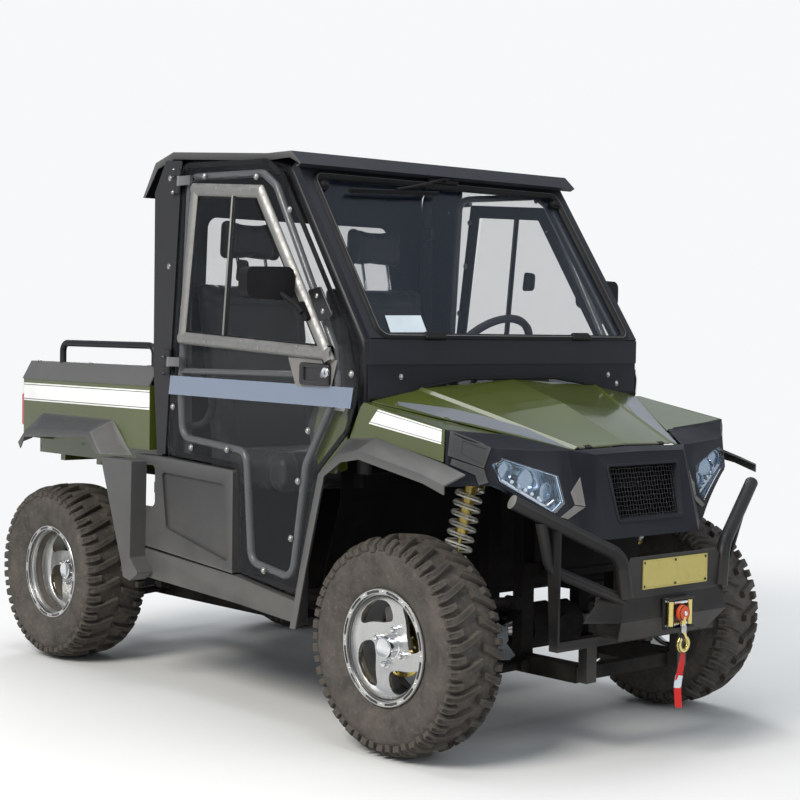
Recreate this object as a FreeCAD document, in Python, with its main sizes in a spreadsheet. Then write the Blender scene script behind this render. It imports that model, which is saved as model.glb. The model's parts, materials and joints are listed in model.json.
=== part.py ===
"""Side by side utility vehicle with a closed two-seat cab and a tipping cargo bed.

Millimetres. +X points forward, +Y to the vehicle's left and +Z up. The origin is on the
ground, under the middle of the vehicle's length and width.
"""
import FreeCAD
import Part
import math
import os

from types import SimpleNamespace

Vector = FreeCAD.Vector
Rotation = FreeCAD.Rotation
Placement = FreeCAD.Placement

# Driving sizes in millimetres and degrees: name, value or a formula of other sizes
SIZES = (
    # Axles and wheels
    ("wheelbase", 1840), ("track_half_front", 588), ("track_half_rear", 542),
    ("front_reach", 535), ("hitch_reach", 372),
    ("tyre_radius", 317.5), ("tyre_width_front", 206), ("tyre_width_rear", 250), ("lug_height", 17),
    ("lug_width", 36), ("lug_skew", 14), ("lug_pairs", 14), ("bead_radius", 150),
    ("bead_inset_front", 22), ("bead_inset_rear", 34), ("rim_lip_radius", 168), ("rim_wall", 5),
    ("rim_disc_thickness", 14), ("rim_window_inner", 66), ("rim_window_outer", 132),
    ("rim_bore_radius", 34), ("rim_cap_radius", 32), ("rim_dish_front", 26), ("rim_dish_rear", 84),
    ("disc_radius", 92), ("disc_thickness", 5), ("hub_radius", 38), ("nut_circle_radius", 55),
    ("nut_radius", 10), ("knuckle_drum", 36), ("knuckle_reach", 78), ("knuckle_radius", 22),
    ("kingpin_inset", 98), ("spindle_radius", 15), ("joint_gap", 0.3), ("pin_gap", 0.3),
    ("steer_arm", 100), ("rack_half", 210), ("rack_housing_half", 112), ("rack_housing_radius", 19),
    ("rack_radius", 11), ("diff_half", 110),
    # Chassis and suspension
    ("rail_y", 205), ("rail_size", 50), ("rail_z", 240), ("frame_tube", 38), ("deck_z", 695),
    ("cowl_beam_z", 790), ("nose_arm_z", 786), ("frame_front_split", 240), ("frame_rear_split", 800),
    ("arm_frame_low", 240), ("arm_frame_high", 420), ("arm_lower_z", 214), ("arm_upper_z", 420),
    ("arm_tube_radius", 14), ("arm_inner_y", 249.3), ("arm_spread", 130), ("ball_joint_radius", 16),
    ("shaft_radius", 13), ("boot_radius", 34), ("spring_radius", 36), ("spring_wire", 10),
    ("spring_seat_low", 95), ("spring_seat_top", 45), ("spring_pitch", 28), ("damper_radius", 19),
    ("shock_top_y", 343), ("shock_top_z", 805), ("shock_low_y", 414), ("shock_rear_top_y", 262),
    ("shock_rear_top_z", 660), ("shock_rear_low_y", 360), ("shock_bar_radius", 10),
    ("shock_eye_radius", 15), ("shock_eye_room", 1.1),
    ("tilt_pin_z", 718), ("tilt_pin_radius", 8), ("hitch_pin_radius", 8), ("hitch_pin_inset", 27),
    ("receiver_half", 32), ("receiver_bore_half", 25.4), ("bumper_tube_radius", 20),
    ("winch_z", 425), ("hook_z", 334), ("hook_radius", 20), ("hook_wire", 6),
    # Widths of the cab and the body, which follow the windscreen frame
    ("frame_half", 598), ("cab_half_width", "=frame_half - 2"), ("cage_foot_y", "=frame_half - 23"),
    ("glass_half_low", "=frame_half - 42"), ("glass_half_top", "=frame_half - 52"),
    ("roof_half_width", "=frame_half + 20"), ("door_outer_y", "=frame_half + 36"),
    ("body_half_width", "=frame_half + 34"), ("panel_inner_y", "=frame_half + 10"),
    ("flare_seam_y", "=frame_half + 22.3"), ("flare_y", "=frame_half + 104"),
    ("mirror_inner", "=frame_half + 57"), ("bed_inner_y", "=frame_half - 38"),
    # Cab
    ("floor_z", 360), ("floor_sheet", 4), ("cowl_setback", 160), ("cowl_low_z", 1012),
    ("cowl_kink_z", 1114), ("glass_low_z", 1197), ("glass_top_z", 1688), ("glass_top_setback", 490),
    ("screen_depth", 26), ("glass_thickness", 5), ("pillar_rear_setback", 1200), ("door_gap", 6),
    ("roof_rear_z", 1786), ("roof_front_z", 1750), ("roof_sheet", 4), ("wall_top_z", 1752),
    ("cage_tube_radius", 22), ("cage_bend", 90), ("cage_rear_x", 676),
    # Doors
    ("door_tube_radius", 12), ("window_depth", 18), ("hinge_top_z", 1690), ("hinge_low_z", 1100),
    ("sill_z", 785), ("door_low_z", 425), ("mirror_reach", 180),
    # Body
    ("panel_sheet", 4), ("flare_lip", 26), ("hood_front_setback", -307), ("hood_crown_z", 1066),
    ("hood_pin_ahead", 302), ("hood_pin_z", 886), ("hood_pin_radius", 2.2), ("hood_knuckle_radius", 4),
    ("grille_half_width", 158), ("grille_top_z", 838), ("grille_low_z", 682), ("grille_rows", 8),
    ("grille_columns", 9),
    # Bed
    ("bed_floor_z", 745), ("bed_top_z", 1015), ("bed_side_z", 800), ("bed_sheet", 5),
    ("bed_cap_z", 1081), ("bed_front_x", 620), ("bed_rear_x", -200), ("bed_rail_z", 1150),
    ("bed_rail_radius", 12), ("gate_pin_z", 762), ("gate_pin_radius", 5),
    # Inside
    ("seat_width", 500), ("seat_thickness", 120), ("seat_back_x", 796), ("seat_back_height", 610),
    ("seat_back_thickness", 90), ("seat_centre_y", 285), ("seat_lean", 10), ("headrest_width", 270),
    ("headrest_height", 150), ("headrest_thickness", 72), ("steering_radius", 175),
    ("steering_tilt", 38), ("steering_z", 1120), ("steering_grip", 14), ("column_radius", 16),
)


def make_sheet(doc):
    """The driving sizes as a spreadsheet, one aliased cell each."""
    sheet = doc.addObject("Spreadsheet::Sheet", "Sizes")
    for row, (alias, value) in enumerate(SIZES, start=1):
        sheet.set(f"A{row}", alias)
        sheet.set(f"B{row}", str(value))
        sheet.setAlias(f"B{row}", alias)
    doc.recompute()
    return sheet


doc = FreeCAD.newDocument("utility_vehicle")
sheet = make_sheet(doc)


class Measure(float):
    """A number that remembers the formula of sheet cells it came from."""

    def __new__(cls, value, formula):
        number = float.__new__(cls, value)
        number.formula = formula
        return number

    def __neg__(self):
        return Measure(-float(self), f"(0 - {self.formula})")

    def __add__(self, other):
        return Measure(float(self) + float(other), f"({self.formula} + {formula_of(other)})")

    def __radd__(self, other):
        return Measure(float(other) + float(self), f"({formula_of(other)} + {self.formula})")

    def __sub__(self, other):
        return Measure(float(self) - float(other), f"({self.formula} - {formula_of(other)})")

    def __rsub__(self, other):
        return Measure(float(other) - float(self), f"({formula_of(other)} - {self.formula})")

    def __mul__(self, other):
        return Measure(float(self) * float(other), f"({self.formula} * {formula_of(other)})")

    def __rmul__(self, other):
        return Measure(float(other) * float(self), f"({formula_of(other)} * {self.formula})")

    def __truediv__(self, other):
        return Measure(float(self) / float(other), f"({self.formula} / {formula_of(other)})")


def formula_of(number):
    return number.formula if isinstance(number, Measure) else f"({float(number):.12g})"


S = SimpleNamespace(**{alias: Measure(float(sheet.get(alias)), "Sizes." + alias) for alias, value in SIZES})

# Shared stations, worked out from the driving sizes
fx = (S.wheelbase + S.hitch_reach - S.front_reach) / 2
rx = fx - S.wheelbase
reach = fx + S.front_reach - 41.3
cowl_x = fx - S.cowl_setback
pillar_x = fx - S.pillar_rear_setback
kingpin_y = S.track_half_front - S.kingpin_inset
hinge_y = S.door_outer_y + 9


def vec(x, y, z):
    return Vector(x, y, z)


def corner_wire(points, radius):
    """A closed wire through the points with tangent arcs at the corners.

    radius is one number, or one for each corner; it is limited to what each corner's sides leave.
    """
    n = len(points)
    radii = [radius] * n if isinstance(radius, (int, float)) else list(radius)
    cuts = []
    for i, corner in enumerate(points):
        before = points[i - 1] - corner
        after = points[(i + 1) % n] - corner
        turn = before.getAngle(after)
        room = 0.45 * min(before.Length, after.Length)
        reach = min(radii[i] / math.tan(turn / 2), room) if radii[i] else 0.0
        cuts.append((before.normalize(), after.normalize(), turn, reach))
    edges = []
    for i, corner in enumerate(points):
        before, after, turn, reach = cuts[i]
        start = corner + before * reach
        end = corner + after * reach
        if reach:
            bow = reach * math.tan(turn / 2)
            middle = (before + after).normalize() * (bow / math.sin(turn / 2) - bow)
            edges.append(Part.Arc(start, corner + middle, end).toShape())
        following = points[(i + 1) % n]
        next_start = following + cuts[(i + 1) % n][0] * cuts[(i + 1) % n][3]
        if (next_start - end).Length > 1e-6:
            edges.append(Part.LineSegment(end, next_start).toShape())
    return Part.Wire(edges)


def in_plane(plane, u, v, w):
    """A point from its two coordinates in a plane and its distance from it."""
    return {"XZ": vec(u, w, v), "YZ": vec(w, u, v), "XY": vec(u, v, w)}[plane]


def slab(plane, outline, start, end, radius=0, holes=()):
    """A plate: an outline in a plane, rounded at its corners, from one distance to another."""
    def face(corners, r):
        return Part.Face(corner_wire([in_plane(plane, u, v, start) for u, v in corners], r))
    flat = face(outline, radius)
    for hole, hole_radius in holes:
        flat = flat.cut(face(hole, hole_radius))
    return flat.extrude(in_plane(plane, 0, 0, end - start))


def box(low, high):
    """A box from its lowest to its highest corner."""
    size = [h - l for l, h in zip(low, high)]
    return Part.makeBox(*size, vec(*low))


def rod(start, end, radius):
    """A round bar between two points."""
    a, b = vec(*start), vec(*end)
    return Part.makeCylinder(radius, (b - a).Length, a, b - a)


def path_wire(points, bend):
    """An open path of straight runs joined by tangent arcs."""
    corners = [vec(*p) for p in points]
    edges, start = [], corners[0]
    for i in range(1, len(corners) - 1):
        corner = corners[i]
        before = corners[i - 1] - corner
        after = corners[i + 1] - corner
        turn = before.getAngle(after)
        reach = min(bend / math.tan(turn / 2), 0.45 * min(before.Length, after.Length))
        bow = reach * math.tan(turn / 2)
        before.normalize()
        after.normalize()
        first, last = corner + before * reach, corner + after * reach
        middle = corner + (before + after).normalize() * (bow / math.sin(turn / 2) - bow)
        edges.append(Part.LineSegment(start, first).toShape())
        edges.append(Part.Arc(first, middle, last).toShape())
        start = last
    edges.append(Part.LineSegment(start, corners[-1]).toShape())
    return Part.Wire(edges)


def tube(points, radius, bend=60):
    """A bent round tube along a path of points."""
    path = path_wire(points, bend)
    first = vec(*points[0])
    along = vec(*points[1]) - first
    ring = Part.Wire(Part.makeCircle(radius, first, along))
    return path.makePipeShell([ring], True, False)


def ruled(sections):
    """A solid through polygons with the same number of corners."""
    wires = [Part.makePolygon([vec(*p) for p in s] + [vec(*s[0])]) for s in sections]
    return Part.makeLoft(wires, True, True)


def mirror_y(shape):
    return shape.mirror(vec(0, 0, 0), vec(0, 1, 0))


def fuse(shapes):
    shapes = list(shapes)
    return shapes[0].multiFuse(shapes[1:]).removeSplitter() if len(shapes) > 1 else shapes[0]


def revolve_profile(profile):
    """Turns (y, radius) points round the Y axis."""
    wire = Part.makePolygon([vec(0, y, r) for y, r in profile] + [vec(0, *profile[0])])
    return Part.Face(wire).revolve(vec(0, 0, 0), vec(0, 1, 0), 360)


KEPT = []


def keep(label, shapes):
    """Stores the finished shape of a sub-part as a document object with its own label."""
    solids = [s for shape in shapes for s in shape.Solids]
    feature = doc.addObject("Part::Feature", label)
    feature.Label = label
    feature.Shape = solids[0] if len(solids) == 1 else Part.makeCompound(solids)
    KEPT.append(feature)
    return feature


def keep_object(label, obj):
    """Registers an object of the document as a sub-part."""
    obj.Label = label
    KEPT.append(obj)
    return obj


def bind(obj, prop, value):
    """Sets a size of an object, bound to the sheet where the value comes from it."""
    if isinstance(value, Measure):
        obj.setExpression(prop, value.formula)
    else:
        setattr(obj, prop, value)


def place_at(obj, start, turn=None):
    """Puts an object at a point, each coordinate bound to the sheet where it comes from it."""
    obj.Placement = Placement(vec(*start), turn or Rotation())
    for axis, value in zip("xyz", start):
        if isinstance(value, Measure):
            obj.setExpression("Placement.Base." + axis, value.formula)


def block(low, high):
    """A Part::Box between two corners."""
    obj = doc.addObject("Part::Box", "Block")
    for side, a, b in zip(("Length", "Width", "Height"), low, high):
        bind(obj, side, b - a)
    place_at(obj, low)
    return obj


def bar(start, end, radius):
    """A Part::Cylinder between two points that share two coordinates."""
    obj = doc.addObject("Part::Cylinder", "Bar")
    bind(obj, "Radius", radius)
    run = [b - a for a, b in zip(start, end) if abs(b - a) > 1e-9][0]
    bind(obj, "Height", run if run > 0 else -run)
    place_at(obj, start, Rotation(vec(0, 0, 1), vec(*end) - vec(*start)))
    return obj


def stored(shape):
    """A shape that no primitive makes, as an object that the booleans can use."""
    obj = doc.addObject("Part::Feature", "Form")
    obj.Shape = shape
    return obj


def boolean(kind, base, tool):
    obj = doc.addObject(kind, kind.split("::")[1])
    obj.Base = base
    obj.Tool = tool
    return obj


def cut(base, tool):
    return boolean("Part::Cut", base, tool)


def common(base, tool):
    return boolean("Part::Common", base, tool)


def joined(objects):
    """One object fused from several, with the seams between flush faces taken out."""
    obj = doc.addObject("Part::MultiFuse", "Joined")
    obj.Shapes = list(objects)
    obj.Refine = True
    return obj


def compound(objects):
    obj = doc.addObject("Part::Compound", "Group")
    obj.Links = list(objects)
    return obj


def both_sides(objects):
    """Right-hand objects and their mirror images on the left."""
    images = []
    for source in objects:
        image = doc.addObject("Part::Mirroring", "Image")
        image.Source = source
        image.Normal = vec(0, 1, 0)
        images.append(image)
    return list(objects) + images


def pair_shape(label, shapes):
    """Right-hand shapes and their mirror images on the left, as one sub-part."""
    return keep(label, list(shapes) + [mirror_y(s) for s in shapes])


def F(x):
    """A station measured from the front axle, forwards positive."""
    return fx + x


def R(x):
    """A station measured from the rear axle, forwards positive."""
    return rx + x


def screen_x(z):
    """The windscreen's outer face at a height."""
    slope = (S.glass_top_setback - S.cowl_setback) / (S.glass_top_z - S.glass_low_z)
    return cowl_x - slope * max(z - S.glass_low_z, 0)


def plate3d(points, depth, radius=0, holes=()):
    """A plate in any plane: its outline and holes as points in space, pushed by a vector."""
    flat = Part.Face(corner_wire([vec(*p) for p in points], radius))
    for hole, hole_radius in holes:
        flat = flat.cut(Part.Face(corner_wire([vec(*p) for p in hole], hole_radius)))
    return flat.extrude(depth)


def inset(plane, outline, wall, w, radius=0):
    """The face inside an outline, smaller by a wall all round, at a distance from the plane."""
    wire = corner_wire([in_plane(plane, u, v, w) for u, v in outline], radius)
    return Part.Face(wire).makeOffset2D(-wall)


def tray(plane, outline, outer, inner, wall, radius=0, holes=()):
    """An open moulding: a skin at one distance with a rim turned in to another."""
    whole = slab(plane, outline, outer, inner, radius)
    sense = 1 if inner > outer else -1
    hollow = inset(plane, outline, wall, outer + sense * wall, radius)
    hollow = Part.Face(hollow.OuterWire) if hollow.ShapeType == "Face" else hollow.Faces[0]
    shape = whole.cut(hollow.extrude(in_plane(plane, 0, 0, inner - outer)))
    for hole, hole_radius in holes:
        shape = shape.cut(slab(plane, hole, outer - sense * wall, inner + sense * wall, hole_radius))
    return shape


# Tyres: a hollow carcass of flat sectors with skewed lugs that wrap the shoulder
def faceted_ring(profile, sides):
    """A closed profile of (y, radius) points carried round the Y axis in flat sectors."""
    half = math.pi / sides
    faces = []
    for i in range(sides):
        near, far = 2 * i * half - half, 2 * i * half + half
        rings = [[vec(r / math.cos(half) * math.sin(turn), y, -r / math.cos(half) * math.cos(turn))
                  for y, r in profile] for turn in (near, far)]
        for j in range(len(profile)):
            a, b = rings[0][j - 1], rings[0][j]
            c, d = rings[1][j], rings[1][j - 1]
            faces.append(Part.Face(Part.makePolygon([a, b, c, d, a])))
    shell = Part.Shell(faces)
    shell.sewShape()
    solid = Part.Solid(shell)
    return solid if solid.Volume > 0 else solid.reversed()


def tyre_shape(width, side_room):
    half, top = width / 2, S.tyre_radius
    base = top - S.lug_height
    bead = half - side_room
    outside = [(bead, S.bead_radius), (bead, S.rim_lip_radius + 2), (half - 2, 224), (half - 36, base)]
    inside = [(half - 46, base - 18), (bead - 12, S.bead_radius)]
    ring = outside + [(-y, r) for y, r in reversed(outside)]
    ring += [(-y, r) for y, r in reversed(inside)] + inside
    sides = 2 * int(S.lug_pairs)
    outline = [(6, base - 3), (6, top), (half - 14, top), (half - 5, base - 16), (half - 34, base - 6)]
    lugs = []
    for side in (1, -1):
        flat = Part.makePolygon([vec(-S.lug_width / 2, side * y, -r) for y, r in outline + outline[:1]])
        lug = Part.Face(flat).extrude(vec(S.lug_width, 0, 0))
        lug.rotate(vec(0, side * half / 2, 0), vec(0, 0, 1), side * S.lug_skew)
        lug.rotate(vec(0, 0, 0), vec(0, 1, 0), 0 if side > 0 else 360 / sides)
        for i in range(int(S.lug_pairs)):
            copy = lug.copy()
            copy.rotate(vec(0, 0, 0), vec(0, 1, 0), i * 720 / sides)
            lugs.append(copy)
    return faceted_ring(ring, sides).multiFuse(lugs).removeSplitter()


# Wheels: an alloy rim with four swirled windows, and the hub with its drilled brake disc
def rim_shape(lip, dish, inner_edge):
    """lip is the outer edge from the wheel's middle plane, inner_edge the other."""
    wall, seat = S.rim_wall, S.bead_radius - S.pin_gap
    face = lip - dish
    back = face - S.rim_disc_thickness
    barrel = revolve_profile([
        (lip, S.rim_lip_radius), (lip, S.rim_lip_radius - 6), (lip - 9, seat - 3 * wall / 2),
        (-inner_edge + 8, seat - 3 * wall / 2), (-inner_edge, S.rim_lip_radius - 8),
        (-inner_edge, S.rim_lip_radius), (-inner_edge + wall, S.rim_lip_radius),
        (-inner_edge + wall, seat), (lip - wall, seat), (lip - wall, S.rim_lip_radius)])
    disc = revolve_profile([(face - 8, S.rim_bore_radius - 26), (face - 8, S.rim_window_inner),
                            (face, S.rim_window_outer - 8), (face, seat - wall),
                            (back, seat - wall), (back, S.rim_window_outer - 8),
                            (back - 8, S.rim_window_inner), (back - 8, S.rim_bore_radius - 26)])
    windows = []
    for i in range(4):
        corners = []
        for angle, radius in ((6, S.rim_window_inner), (52, S.rim_window_inner + 8),
                              (70, S.rim_window_outer), (36, S.rim_window_outer + 5),
                              (4, S.rim_window_outer - 6)):
            turn = math.radians(90 * i + angle)
            corners.append((radius * math.cos(turn), radius * math.sin(turn)))
        windows.append(slab("XZ", corners, back - 20, face + 10, 16))
    disc = disc.cut(Part.makeCompound(windows))
    cap = revolve_profile([(face - 9, 0), (face - 9, S.rim_cap_radius), (face + 8, S.rim_cap_radius - 2),
                           (face + 14, S.rim_cap_radius - 8), (face + 14, 0)])
    nuts = []
    for i in range(4):
        turn = math.radians(90 * i - 16)
        x, z = S.nut_circle_radius * math.cos(turn), S.nut_circle_radius * math.sin(turn)
        nuts.append(Part.makeCone(S.nut_radius, S.nut_radius - 3, 16, vec(x, face - 10, z), vec(0, 1, 0)))
    return fuse([barrel, disc, cap] + nuts), back - 8


def hub_shape(outer, inner, disc_at):
    """The hub from its flange to its inner end, bored for its spindle, with the brake disc on it."""
    body = revolve_profile([(outer, 0), (outer, S.hub_radius + 26), (outer - 9, S.hub_radius + 26),
                            (outer - 9, S.hub_radius), (inner, S.hub_radius), (inner, 0)])
    disc = revolve_profile([(disc_at, S.hub_radius - 4), (disc_at, S.disc_radius),
                            (disc_at + S.disc_thickness, S.disc_radius),
                            (disc_at + S.disc_thickness, S.hub_radius - 4)])
    holes = []
    for i in range(12):
        turn = math.radians(30 * i)
        ring = S.hub_radius + (24 if i % 2 else 38)
        holes.append(Part.makeCylinder(5, 20, vec(ring * math.cos(turn), disc_at - 6,
                                                  ring * math.sin(turn)),
                                       vec(0, 1, 0)))
    bore = Part.makeCylinder(S.spindle_radius + S.pin_gap, outer - 8 - inner, vec(0, inner, 0),
                             vec(0, 1, 0))
    return body.fuse(disc.cut(Part.makeCompound(holes))).cut(bore)


axle_z = S.tyre_radius
front_lip = S.tyre_width_front / 2 - S.bead_inset_front + S.rim_wall + S.pin_gap
rear_lip = S.tyre_width_rear / 2 - S.bead_inset_rear + S.rim_wall + S.pin_gap
front_rim, front_back = rim_shape(front_lip, S.rim_dish_front, front_lip)
rear_rim, rear_back = rim_shape(rear_lip, S.rim_dish_rear, rear_lip)
front_hub_inner = kingpin_y + S.knuckle_reach - S.track_half_front
rear_hub_inner = rear_back - 56
front_hub = hub_shape(front_back - S.pin_gap, front_hub_inner + S.pin_gap, 8)
rear_hub = hub_shape(rear_back - S.pin_gap, rear_hub_inner + S.pin_gap, rear_hub_inner + 14)
front_tyre = tyre_shape(S.tyre_width_front, S.bead_inset_front)
rear_tyre = tyre_shape(S.tyre_width_rear, S.bead_inset_rear)

for axle, x, track, tyre, rim, hub in (("front", fx, S.track_half_front, front_tyre, front_rim, front_hub),
                                       ("rear", rx, S.track_half_rear, rear_tyre, rear_rim, rear_hub)):
    for side, name in ((1, "left"), (-1, "right")):
        moved = []
        for shape in (tyre, rim, hub):
            placed = shape.copy() if side > 0 else mirror_y(shape)
            placed.translate(vec(x, side * track, axle_z))
            moved.append(placed)
        keep(f"tyre_{axle}_{name}", moved[:1])
        keep(f"rim_{axle}_{name}", moved[1:])

# Front knuckles: kingpin barrel, spindle, steering arm and brake caliper
def knuckle_shape():
    low, high = S.arm_lower_z, S.arm_upper_z
    barrel = rod((fx, kingpin_y, low + S.joint_gap), (fx, kingpin_y, high - S.joint_gap), S.knuckle_radius)
    drum = rod((fx, kingpin_y, axle_z - 44), (fx, kingpin_y, axle_z + 44), S.knuckle_drum)
    boss = rod((fx, kingpin_y, axle_z), (fx, kingpin_y + S.knuckle_reach, axle_z), S.hub_radius - 6)
    spindle = rod((fx, kingpin_y, axle_z), (fx, S.track_half_front + front_back - 14, axle_z),
                  S.spindle_radius)
    arm_x, arm_z = fx - S.steer_arm, axle_z + 40
    arm = slab("XY", [(fx + 8, kingpin_y + 16), (fx + 8, kingpin_y - 16), (arm_x - 16, kingpin_y - 24),
                      (arm_x - 16, kingpin_y + 4)], arm_z, arm_z + 10, 8)
    disc_y = S.track_half_front + 8
    caliper = slab("XZ", [(fx - 52, axle_z + 60), (fx + 22, axle_z + 66), (fx + 26, axle_z + 112),
                          (fx - 60, axle_z + 106)], disc_y - 16, disc_y + S.disc_thickness + 14, 10)
    slot = rod((fx, disc_y - 3, axle_z), (fx, disc_y + S.disc_thickness + 3, axle_z), S.disc_radius + 6)
    bracket = box((fx - 30, kingpin_y, axle_z + 62), (fx + 10, disc_y - 12, axle_z + 80))
    return fuse([barrel, drum, boss, spindle, arm, caliper.cut(slot), bracket])


knuckle = knuckle_shape()
keep("knuckle_left", [knuckle])
keep("knuckle_right", [mirror_y(knuckle)])

# Steering rack with its tie rods, which slide together
rack_x, rack_z = fx - S.steer_arm, axle_z + 40 - S.pin_gap
rod_z = rack_z - 9
rack_bar = rod((rack_x, -S.rack_half, rod_z), (rack_x, S.rack_half, rod_z), S.rack_radius)
ties = []
for side in (1, -1):
    end = side * (kingpin_y - 10)
    ties += [rod((rack_x, side * (S.rack_half - 10), rod_z), (rack_x, end, rod_z), 8),
             rod((rack_x, end, rod_z - 11), (rack_x, end, rack_z), 13),
             rod((rack_x, side * (S.rack_half - 40), rod_z), (rack_x, side * S.rack_half, rod_z), 16)]
keep("steering_rack", [fuse([rack_bar] + ties)])

# Suspension arms, rear uprights, shafts, dampers and springs
def arm_pair(x, outer_y, z_in, z_out, spread, inner_y):
    """A two-legged arm from the frame to the joint at the upright."""
    legs = []
    for way in (1, -1):
        legs.append(rod((x + way * spread, inner_y, z_in), (x, outer_y, z_out), S.arm_tube_radius))
        legs.append(rod((x + way * spread - 24, inner_y, z_in), (x + way * spread + 24, inner_y, z_in), 19))
    return legs


def shock_seat(axle):
    """Where the bar that carries the damper crosses an upper arm."""
    outer = kingpin_y if axle == "front" else rear_upright_y
    y = S.shock_low_y if axle == "front" else S.shock_rear_low_y
    share = (y - S.arm_inner_y) / (outer - S.arm_inner_y)
    return y, S.arm_frame_high + share * (S.arm_upper_z + 18 - S.arm_frame_high)


def arms(axle):
    x, outer = (fx, kingpin_y) if axle == "front" else (rx, rear_upright_y)
    low_out, high_out = S.arm_lower_z - 22, S.arm_upper_z + 18
    lower = arm_pair(x, outer, S.arm_frame_low, low_out, S.arm_spread, S.arm_inner_y)
    lower.append(rod((x, outer, low_out - 8), (x, outer, S.arm_lower_z), S.ball_joint_radius))
    upper = arm_pair(x, outer, S.arm_frame_high, high_out, S.arm_spread - 30, S.arm_inner_y)
    upper.append(rod((x, outer, S.arm_upper_z), (x, outer, high_out + 8), S.ball_joint_radius))
    mount_y, mount_z = shock_seat(axle)
    share = (mount_y - S.arm_inner_y) / (outer - S.arm_inner_y)
    mount_x = (1 - share) * (S.arm_spread - 30)
    upper.append(rod((x - mount_x, mount_y, mount_z), (x + mount_x, mount_y, mount_z), S.shock_bar_radius))
    return [fuse(lower), fuse(upper)]


rear_upright_y = S.track_half_rear + rear_hub_inner - 18
for axle in ("front", "rear"):
    pair_shape(axle + "_arms", arms(axle))

upright = fuse([
    slab("XZ", [(rx - 34, S.arm_lower_z + S.joint_gap), (rx + 34, S.arm_lower_z + S.joint_gap),
                (rx + 40, axle_z), (rx + 30, S.arm_upper_z - S.joint_gap),
                (rx - 30, S.arm_upper_z - S.joint_gap), (rx - 40, axle_z)],
         rear_upright_y - 16, rear_upright_y + 17.7, 8),
    rod((rx, rear_upright_y, axle_z), (rx, S.track_half_rear + rear_back - 14, axle_z), S.spindle_radius)])
pair_shape("rear_uprights", [upright])


def half_shaft(x, outer_y, inner_y):
    """A drive shaft with a ribbed boot over the joint at each end."""
    parts = [rod((x, inner_y, axle_z), (x, outer_y, axle_z), S.shaft_radius)]
    for start, way in ((inner_y, 1), (outer_y, -1)):
        for i, (near, far) in enumerate(((1.0, 0.86), (0.86, 0.72), (0.72, 0.58), (0.58, 0.46))):
            a = start + way * 17 * i
            parts.append(Part.makeCone(S.boot_radius * near, S.boot_radius * far, 17,
                                       vec(x, a, axle_z), vec(0, way, 0)))
    return fuse(parts)


pair_shape("half_shafts", [half_shaft(fx, kingpin_y - S.knuckle_drum - S.pin_gap, S.diff_half + S.pin_gap),
                           half_shaft(rx, rear_upright_y - 16 - S.pin_gap, S.diff_half + S.pin_gap)])


def spring_coil(radius, wire, pitch, length):
    """A helical spring with a square section, for length along Z."""
    turns = max(2, round(length / pitch))
    helix = Part.makeHelix(length / turns, length, radius)
    half = wire / 2
    corners = [vec(radius - half, 0, 0), vec(radius, 0, half), vec(radius + half, 0, 0),
               vec(radius, 0, -half)]
    ring = Part.makePolygon(corners + corners[:1])
    return Part.Wire(helix.Edges).makePipeShell([ring], True, True)


def shock(x, low, top, seat_low):
    """A damper with its spring between two eyes: the metal parts, then the spring."""
    a, b = vec(x + low[0], low[1], low[2]), vec(x + top[0], top[1], top[2])
    along = (b - a)
    length = along.Length
    turn = Rotation(vec(0, 0, 1), along)
    r = S.damper_radius
    eye = S.shock_eye_radius
    metal = [Part.makeCylinder(eye, 30, vec(-15, 0, 0), vec(1, 0, 0)),
             Part.makeCylinder(eye, 30, vec(-15, 0, length), vec(1, 0, 0)),
             Part.makeCylinder(7, length, vec(0, 0, 0)),
             Part.makeCylinder(S.spring_radius + 5, 8, vec(0, 0, seat_low - 8)),
             Part.makeCylinder(S.spring_radius + 5, 8, vec(0, 0, length - S.spring_seat_top)),
             Part.makeCylinder(r, length * 0.42, vec(0, 0, length - S.spring_seat_top - length * 0.42)),
             Part.makeCylinder(r - 6, S.spring_seat_top - 14, vec(0, 0, length - S.spring_seat_top + 4))]
    metal = fuse(metal)
    gap = S.pin_gap
    room = length - S.spring_seat_top - seat_low - 2 * gap - S.spring_wire
    coil = spring_coil(S.spring_radius, S.spring_wire, S.spring_pitch, room)
    coil.translate(vec(0, 0, seat_low + gap + S.spring_wire / 2))
    place = Placement(a, turn)
    for shape in (metal, coil):
        shape.Placement = place.multiply(shape.Placement)
    return metal, coil


def shock_foot(axle):
    y, z = shock_seat(axle)
    return 0, y, z + S.shock_bar_radius + S.shock_eye_radius + S.shock_eye_room


front_shock = shock(fx, shock_foot("front"), (20, S.shock_top_y, S.shock_top_z), S.spring_seat_low)
rear_shock = shock(rx, shock_foot("rear"), (18, S.shock_rear_top_y, S.shock_rear_top_z), 50)
pair_shape("dampers", [front_shock[0], rear_shock[0]])
pair_shape("springs", [front_shock[1], rear_shock[1]])

# The windscreen plane, which the cage, the dash beam and the cowl follow
screen_dx = -(S.glass_top_setback - S.cowl_setback)
screen_dz = S.glass_top_z - S.glass_low_z
screen_length = math.hypot(screen_dx, screen_dz)
ux, uz = screen_dx / screen_length, screen_dz / screen_length


def on_screen(y, v, depth=0.0):
    """A point of the windscreen's plane: v up the slope from the glass's lower edge."""
    return (cowl_x + ux * v - uz * depth, y, S.glass_low_z + uz * v + ux * depth)


# Chassis: square rails, cross members, uprights and decks
def both(shapes):
    return list(shapes) + [mirror_y(s) for s in shapes]


rail_in, rail_out = S.rail_y - S.rail_size / 2, S.rail_y + S.rail_size / 2
rail_low, rail_top = S.rail_z - S.rail_size / 2, S.rail_z + S.rail_size / 2
deck_z = S.deck_z
tube_size = S.frame_tube
floor_low = S.floor_z - S.pin_gap
cowl_beam_x = on_screen(0, 0, S.screen_depth + S.cage_tube_radius + S.pin_gap)[0]
cowl_beam_top = S.cowl_beam_z


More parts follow.
